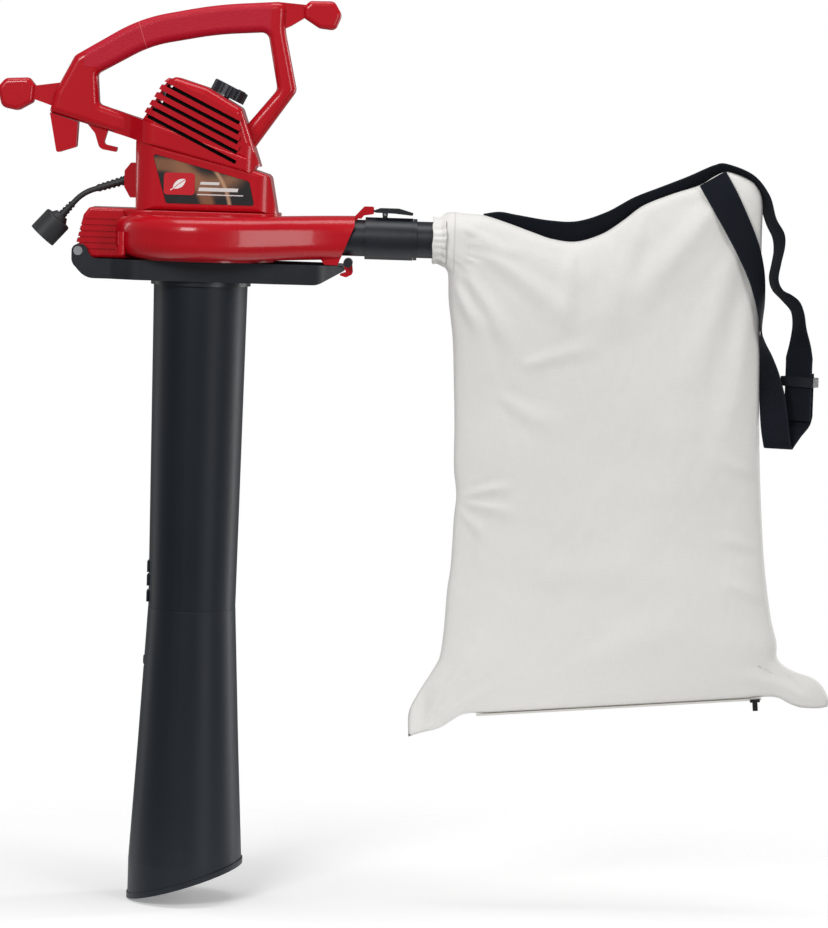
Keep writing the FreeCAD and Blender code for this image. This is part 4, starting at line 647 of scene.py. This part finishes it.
FRONT_FOLDS = [
    # x and z of both ends, half width, height
    (0.318, 0.058, 0.372, 0.034, 0.007, 0.0022), (0.322, 0.044, 0.400, 0.022, 0.008, 0.0016),
    (0.312, -0.010, 0.350, -0.075, 0.010, 0.0040), (0.330, 0.004, 0.395, -0.105, 0.013, 0.0034),
    (0.345, 0.030, 0.470, -0.060, 0.016, 0.0026), (0.400, 0.046, 0.470, 0.030, 0.007, 0.0018),
    (0.462, 0.040, 0.448, -0.070, 0.013, 0.0020), (0.500, 0.052, 0.520, -0.070, 0.016, 0.0020),
    (0.545, 0.085, 0.505, -0.050, 0.018, 0.0022), (0.640, 0.110, 0.520, -0.060, 0.022, 0.0036),
    (0.672, 0.060, 0.600, -0.140, 0.022, 0.0030), (0.684, -0.010, 0.640, -0.250, 0.020, 0.0022),
    (0.400, -0.110, 0.500, -0.085, 0.012, 0.0018), (0.372, -0.150, 0.450, -0.190, 0.014, 0.0018),
    (0.325, -0.276, 0.392, -0.262, 0.007, 0.0034), (0.326, -0.280, 0.400, -0.296, 0.009, 0.0030),
    (0.327, -0.290, 0.365, -0.330, 0.009, 0.0020), (0.702, -0.240, 0.650, -0.222, 0.009, 0.0018),
    (0.706, -0.330, 0.648, -0.318, 0.010, 0.0018), (0.716, -0.395, 0.660, -0.372, 0.010, 0.0020),
    (0.283, -0.570, 0.360, -0.455, 0.010, 0.0034), (0.288, -0.568, 0.400, -0.500, 0.010, 0.0030),
    (0.300, -0.560, 0.360, -0.530, 0.006, 0.0022), (0.290, -0.545, 0.325, -0.475, 0.008, 0.0026),
    (0.786, -0.512, 0.690, -0.430, 0.012, 0.0032), (0.782, -0.518, 0.670, -0.485, 0.010, 0.0028),
    (0.770, -0.520, 0.715, -0.508, 0.006, 0.0018), (0.760, -0.492, 0.722, -0.460, 0.008, 0.0024),
    (0.430, -0.380, 0.580, -0.340, 0.030, 0.0014), (0.470, -0.480, 0.610, -0.440, 0.026, 0.0013),
]
BACK_FOLDS = [
    (0.315, 0.050, 0.420, 0.010, 0.012, 0.0030), (0.320, 0.000, 0.410, -0.120, 0.014, 0.0036),
    (0.660, 0.100, 0.540, -0.080, 0.024, 0.0040), (0.680, 0.030, 0.610, -0.200, 0.020, 0.0030),
    (0.330, -0.230, 0.420, -0.260, 0.012, 0.0030), (0.700, -0.300, 0.620, -0.280, 0.014, 0.0026),
    (0.285, -0.565, 0.390, -0.440, 0.012, 0.0034), (0.785, -0.515, 0.670, -0.430, 0.012, 0.0034),
    (0.420, -0.450, 0.600, -0.400, 0.030, 0.0018), (0.440, -0.180, 0.600, -0.140, 0.026, 0.0016),
]


def fold_height(folds, seed):
    """Height of all the folds in one panel, with the slack between them."""
    height = np.zeros(px.shape)
    for x0, z0, x1, z1, wide, high in folds:
        run = math.hypot(x1 - x0, z1 - z0)
        ux, uz = (x1 - x0) / run, (z1 - z0) / run
        along = ((px - x0) * ux + (pz - z0) * uz) / run
        bow = 0.12 * wide * np.sin(along * 5.0 + x0 * 90)
        off = ((px - x0) * uz - (pz - z0) * ux + bow) / (wide * (0.7 + 0.7 * np.clip(along, 0, 1)))
        end = eased(along, -0.05, 0.15) * (1 - eased(along, 0.55, 1.15))
        height += high * end * (1 - 1.6 * off ** 2) * np.exp(-off ** 2)
    for row in range(px.shape[0]):
        for col in range(px.shape[1]):
            where = Vector((px[row, col], seed, pz[row, col]))
            height[row, col] += 0.0030 * noise.noise(where * 8.0)
            height[row, col] += 0.0011 * noise.noise(where * 22.0)
            height[row, col] += 0.00045 * noise.noise(Vector((where.x * 90, seed, where.z * 50)))
    around = np.arctan2(pz - neck_middle.z, px - 0.280)
    pleats = np.sin(around * 26 + 3.0 * np.sin(around * 5 + seed))
    height += 0.0016 * (pleats * np.exp(-((from_neck - 0.030) / 0.022) ** 2))
    side = np.arctan2(pz + 0.2, px - 0.5)
    pucker = np.sin(side * 95 + 4 * np.sin(side * 17 + seed)) * np.exp(-seam_gap / 0.010)
    height += 0.0009 * pucker * eased(seam_gap, 0, 0.006)
    height *= eased(seam_gap, 0.0, 0.022) * eased(px, 0.292, 0.312)
    return np.where((px < 0.330) & (over_tube > 0), np.maximum(height, 0.0), height)


points = []
for side, folds, seed in ((-1, FRONT_FOLDS, 1.7), (1, BACK_FOLDS, 8.3)):
    raised = np.maximum(half + fold_height(folds, seed), np.where(seam_gap > 0, 0.0008, 0))
    raised = np.minimum(raised, bulge_limit)
    y = bag_middle + side * raised
    points.append(np.stack([px, y, pz], axis=-1).reshape(-1, 3))
faces = []
for side in (0, 1):
    first = side * across * down
    for row in range(down - 1):
        for col in range(across - 1):
            a = first + row * across + col
            ring = (a, a + across, a + across + 1, a + 1)
            faces.append(ring if side == 0 else ring[::-1])


def laid_out(name, points, faces, layer, flat):
    """A new piece from points and faces, with the place of each point in the flat cloth."""
    mesh = bpy.data.meshes.new(name)
    mesh.from_pydata(points, [], faces)
    cloth_map = mesh.uv_layers.new(name=layer)
    for loop in mesh.loops:
        cloth_map.data[loop.index].uv = flat[loop.vertex_index]
    piece = bpy.data.objects.new(name, mesh)
    bpy.context.scene.collection.objects.link(piece)
    bpy.ops.object.select_all(action="DESELECT")
    piece.select_set(True)
    bpy.context.view_layer.objects.active = piece
    return piece


bag_points = np.vstack(points).tolist()
bag_flat = [(x, z) for x, y, z in bag_points]
canvas_bag = laid_out("canvas_bag", bag_points, faces, "cloth", bag_flat)
face_outward(weld=0.00005)
finish_with(canvas_bag, "SOLIDIFY", "cloth_thickness", thickness=cloth_thick, offset=-1.0)
bpy.ops.object.shade_smooth()

canvas = Finish("cotton_canvas")
spot, (u, v, w) = canvas.place("cloth")
thread = 2 * math.pi / 0.0011
weft_slub = canvas.noise(canvas.stretched(spot, (60, 900, 1)), 1.0, 3, 0.6)
warp_slub = canvas.noise(canvas.stretched(spot, (900, 60, 1)), 1.0, 3, 0.6)
weave = (u * thread).sine() * (v * thread).sine() * 0.5 + weft_slub * 0.7 + warp_slub * 0.7
cast = canvas.noise(spot, 5, 3)
seed_fleck = canvas.noise(spot, 420, 2).rise(0.74, 0.80)
casing = u.within(0.3125, 0.3140, 0.0003) * v.rise(-0.005, 0.0)
natural = canvas.mix(cast, (0.755, 0.742, 0.712), (0.820, 0.808, 0.780))
slubs = (weft_slub * 0.5 + warp_slub * 0.5).rise(0.42, 0.68)
natural = canvas.mix(slubs * 0.28, natural, (0.90, 0.888, 0.860))
natural = canvas.mix(seed_fleck * 0.35, natural, (0.40, 0.33, 0.24))
natural = canvas.mix(casing * 0.35, natural, (0.45, 0.42, 0.37))
canvas.surface(
    {
        "Base Color": natural,
        "Roughness": 0.86 + cast * 0.08,
        "Normal": canvas.bump(weave - casing * 1.5, 0.35, 0.0005),
    },
    {"Sheen Weight": 0.25, "Sheen Roughness": 0.5, "Specular IOR Level": 0.25},
)
paint(canvas.material, canvas_bag)
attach(canvas_bag, "bag_body")
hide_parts("bag")


# ---- gathered collar ----
# The drawn mouth of the bag round the outlet tube: a frill of the same canvas, pleated
# all round. It stands in for the tie, which it covers.
collar_start, collar_length, collar_radius = 0.2862, 0.0172, 0.0262
ring_count, around_count = 9, 140
collar_points = []
collar_flat = []
collar_faces = []
for i in range(ring_count):
    share = i / (ring_count - 1)
    x_here = collar_start + collar_length * share
    flare = 0.0018 * abs(share - 0.45) * 2 + 0.0085 * max(0.0, share - 0.6)
    for k in range(around_count):
        angle = 2 * math.pi * k / around_count
        pleat = 0.0007 * math.sin(19 * angle + 1.5 * math.sin(4 * angle)) * (0.5 + share)
        reach = collar_radius + flare + pleat
        collar_points.append((
            x_here + 0.0006 * math.sin(7 * angle),
            neck_middle.y + reach * math.cos(angle) * (0.96 if share > 0.5 else 1.0),
            neck_middle.z + reach * math.sin(angle),
        ))
        collar_flat.append((collar_points[-1][0], 0.026 * angle - 0.2))
for i in range(ring_count - 1):
    for k in range(around_count):
        a = i * around_count + k
        b = i * around_count + (k + 1) % around_count
        collar_faces.append((a, b, b + around_count, a + around_count))
bag_collar = laid_out("bag_collar", collar_points, collar_faces, "cloth", collar_flat)
face_outward()
finish_with(bag_collar, "SOLIDIFY", "cloth_thickness", thickness=0.0016, offset=-1.0)
finish_with(bag_collar, "SUBSURF", "soft_hem", levels=1, render_levels=1)
bpy.ops.object.shade_smooth()
paint(canvas.material, bag_collar)
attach(bag_collar, "bag_body")
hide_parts("neck_band")


# ---- shoulder strap ----
# One length of 38 mm navy webbing lies behind the top of the bag, turns the corner and
# runs down to the slider. The other is sewn on the corner, twists and loops back up.
webbing_width = 0.038
webbing_thick = 0.0015
webbing = Finish("navy_webbing")
spot, (u, v, w) = webbing.place("webbing")
ribs = (v * (2 * math.pi / 0.0021)).sine()
twill = 2 * math.pi / 0.0032
herring = (u * twill + v * twill).sine()
selvage = abs(u).rise(0.0170, 0.0176)
fuzz = webbing.noise(spot, 900, 3)
worn = webbing.noise(spot, 30, 3)
tone = webbing.mix(worn, (0.0035, 0.0052, 0.0095), (0.0065, 0.0092, 0.0150))
tone = webbing.mix(fuzz.rise(0.55, 0.80) * 0.3, tone, (0.020, 0.025, 0.035))
tone = webbing.mix(selvage * 0.5, tone, (0.016, 0.020, 0.028))
webbing.surface(
    {
        "Base Color": tone,
        "Roughness": 0.72 + worn * 0.15,
        "Normal": webbing.bump(ribs * 0.5 + herring * 0.35 + fuzz * 0.5 - selvage * 0.4, 0.5, 0.0005),
    },
    {"Sheen Weight": 0.03, "Sheen Roughness": 0.4, "Specular IOR Level": 0.16},
)


def woven_strap(name, stations, steps):
    """Webbing laid between its two edges, given as pairs of points along its length."""
    edges = smooth_line([(*a, *b) for a, b in stations], steps)
    first, second = edges[:, :3], edges[:, 3:]
    strides = np.linalg.norm(np.diff((first + second) / 2, axis=0), axis=1)
    run = np.concatenate([[0], np.cumsum(strides)])
    columns = 9
    shares = np.linspace(0, 1, columns)
    verts, faces, flat = [], [], []
    for i in range(steps):
        for share in shares:
            verts.append(tuple(first[i] * (1 - share) + second[i] * share))
            flat.append(((share - 0.5) * webbing_width, run[i]))
    for i in range(steps - 1):
        for k in range(columns - 1):
            a = i * columns + k
            faces.append((a, a + 1, a + columns + 1, a + columns))
    strap = laid_out(name, verts, faces, "webbing", flat)
    finish_with(strap, "SOLIDIFY", "webbing_thickness", thickness=webbing_thick, offset=0.0)
    finish_with(strap, "BEVEL", "rounded_edge", width=0.0004, segments=2, limit_method="ANGLE")
    bpy.ops.object.shade_smooth_by_angle(angle=math.radians(50))
    paint(webbing.material, strap)
    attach(strap, "bag_body")
    return strap


LONG_STRAP = [
    # the two edges of the webbing at one place, and so on along it
    ((0.3480, -0.0385, 0.0730), (0.3500, -0.0220, 0.0400)),
    ((0.3680, -0.0385, 0.0760), (0.3700, -0.0200, 0.0430)),
    ((0.3890, -0.0385, 0.0730), (0.3900, -0.0190, 0.0400)),
    ((0.4290, -0.0385, 0.0675), (0.4290, -0.0180, 0.0350)),
    ((0.4640, -0.0385, 0.0675), (0.4645, -0.0170, 0.0350)),
    ((0.5000, -0.0390, 0.0800), (0.5060, -0.0170, 0.0485)),
    ((0.5330, -0.0390, 0.0990), (0.5430, -0.0170, 0.0680)),
    ((0.5660, -0.0390, 0.1130), (0.5750, -0.0165, 0.0810)),
    ((0.5990, -0.0395, 0.1270), (0.6080, -0.0160, 0.0950)),
    ((0.6300, -0.0400, 0.1415), (0.6350, -0.0140, 0.1120)),
    ((0.6460, -0.0430, 0.1435), (0.6430, -0.0110, 0.1190)),
    ((0.6780, -0.0500, 0.1310), (0.6680, -0.0140, 0.1150)),
    ((0.6980, -0.0560, 0.1070), (0.6880, -0.0195, 0.0960)),
    ((0.7070, -0.0575, 0.0790), (0.6990, -0.0210, 0.0700)),
    ((0.7175, -0.0580, 0.0610), (0.7070, -0.0215, 0.0540)),
    ((0.7190, -0.0580, 0.0450), (0.7090, -0.0215, 0.0380)),
    ((0.7150, -0.0583, 0.0240), (0.7070, -0.0215, 0.0220)),
    ((0.7125, -0.0583, 0.0040), (0.7045, -0.0220, 0.0050)),
    ((0.7185, -0.0580, -0.0090), (0.7085, -0.0225, -0.0095)),
    ((0.7300, -0.0570, -0.0150), (0.7200, -0.0230, -0.0215)),
    ((0.7400, -0.0560, -0.0230), (0.7310, -0.0240, -0.0330)),
    ((0.7460, -0.0560, -0.0370), (0.7345, -0.0250, -0.0420)),
    ((0.7495, -0.0560, -0.0560), (0.7350, -0.0270, -0.0570)),
    ((0.7555, -0.0545, -0.0760), (0.7318, -0.0292, -0.0770)),
    ((0.7588, -0.0528, -0.0920), (0.7282, -0.0314, -0.0920)),
    ((0.7588, -0.0528, -0.0985), (0.7282, -0.0314, -0.0985)),
    ((0.7588, -0.0528, -0.1200), (0.7282, -0.0314, -0.1200)),
    ((0.7588, -0.0528, -0.1400), (0.7282, -0.0314, -0.1400)),
    ((0.7588, -0.0528, -0.1600), (0.7282, -0.0314, -0.1600)),
    ((0.7588, -0.0528, -0.1640), (0.7282, -0.0314, -0.1640)),
    ((0.7586, -0.0530, -0.1700), (0.7280, -0.0316, -0.1710)),
]
strap_long = woven_strap("shoulder_strap_long", LONG_STRAP, 260)
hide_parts("strap_long")

SHORT_STRAP = [
    ((0.6120, -0.0530, 0.1160), (0.6440, -0.0500, 0.1350)),
    ((0.6310, -0.0620, 0.0840), (0.6570, -0.0590, 0.1120)),
    ((0.6500, -0.0655, 0.0520), (0.6700, -0.0590, 0.0860)),
    ((0.6640, -0.0655, 0.0270), (0.6810, -0.0580, 0.0620)),
    ((0.6760, -0.0640, 0.0020), (0.6895, -0.0530, 0.0400)),
    ((0.6850, -0.0625, -0.0240), (0.6965, -0.0440, 0.0100)),
    ((0.6900, -0.0605, -0.0430), (0.6990, -0.0310, -0.0230)),
    ((0.6930, -0.0590, -0.0600), (0.6975, -0.0240, -0.0500)),
    ((0.7000, -0.0580, -0.0760), (0.6960, -0.0210, -0.0760)),
    ((0.7085, -0.0575, -0.0910), (0.6958, -0.0225, -0.1000)),
    ((0.7180, -0.0580, -0.1130), (0.6962, -0.0290, -0.1260)),
    ((0.7260, -0.0590, -0.1400), (0.6970, -0.0370, -0.1520)),
    ((0.7310, -0.0600, -0.1700), (0.6990, -0.0430, -0.1790)),
    ((0.7345, -0.0600, -0.1960), (0.7015, -0.0470, -0.1960)),
    ((0.7375, -0.0555, -0.2045), (0.7040, -0.0440, -0.2045)),
    ((0.7410, -0.0505, -0.2010), (0.7080, -0.0375, -0.2010)),
    ((0.7490, -0.0488, -0.1890), (0.7165, -0.0325, -0.1890)),
    ((0.7585, -0.0486, -0.1760), (0.7272, -0.0285, -0.1760)),
    ((0.7617, -0.0485, -0.1640), (0.7312, -0.0272, -0.1640)),
    ((0.7617, -0.0485, -0.1600), (0.7312, -0.0272, -0.1600)),
    ((0.7617, -0.0485, -0.1400), (0.7312, -0.0272, -0.1400)),
    ((0.7617, -0.0485, -0.1200), (0.7312, -0.0272, -0.1200)),
    ((0.7617, -0.0485, -0.1110), (0.7312, -0.0272, -0.1110)),
]
strap_short = woven_strap("shoulder_strap_short", SHORT_STRAP, 220)
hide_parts("strap_short")


# ---- zip ----
# A pale nylon coil zip on cotton tape closes the floor of the bag. Its slider is black
# enamel, chipped to bare metal in a few specks.
coil = Finish("zip_tape_and_coil")
spot, (x, y, z) = coil.place()
teeth = (x * (2 * math.pi / 0.0022)).sine()
from_middle = abs(y - bag_middle)
edge_of_teeth = from_middle.rise(0.0012, 0.0016)
coil.surface(
    {
        "Base Color": coil.mix(edge_of_teeth, (0.52, 0.50, 0.46), (0.66, 0.64, 0.60)),
        "Roughness": 0.45 + edge_of_teeth * 0.3,
        "Normal": coil.bump(teeth * (1 - from_middle.rise(0.0014, 0.0018)), 0.8, 0.0006),
    },
    {},
)
paint(coil.material, "zip_chain")
enamel = Finish("slider_black_enamel")
spot, (x, y, z) = enamel.place()
chips = enamel.noise(spot, 700, 4, 0.7).rise(0.66, 0.72)
enamel.surface(
    {
        "Base Color": enamel.mix(chips, (0.012, 0.012, 0.014), (0.45, 0.43, 0.38)),
        "Roughness": 0.30 + chips * 0.15,
        "Metallic": 0.2 + chips * 0.8,
        "Normal": enamel.bump(chips, -0.3, 0.0003),
    },
    {},
)
paint(enamel.material, "zip_slider")
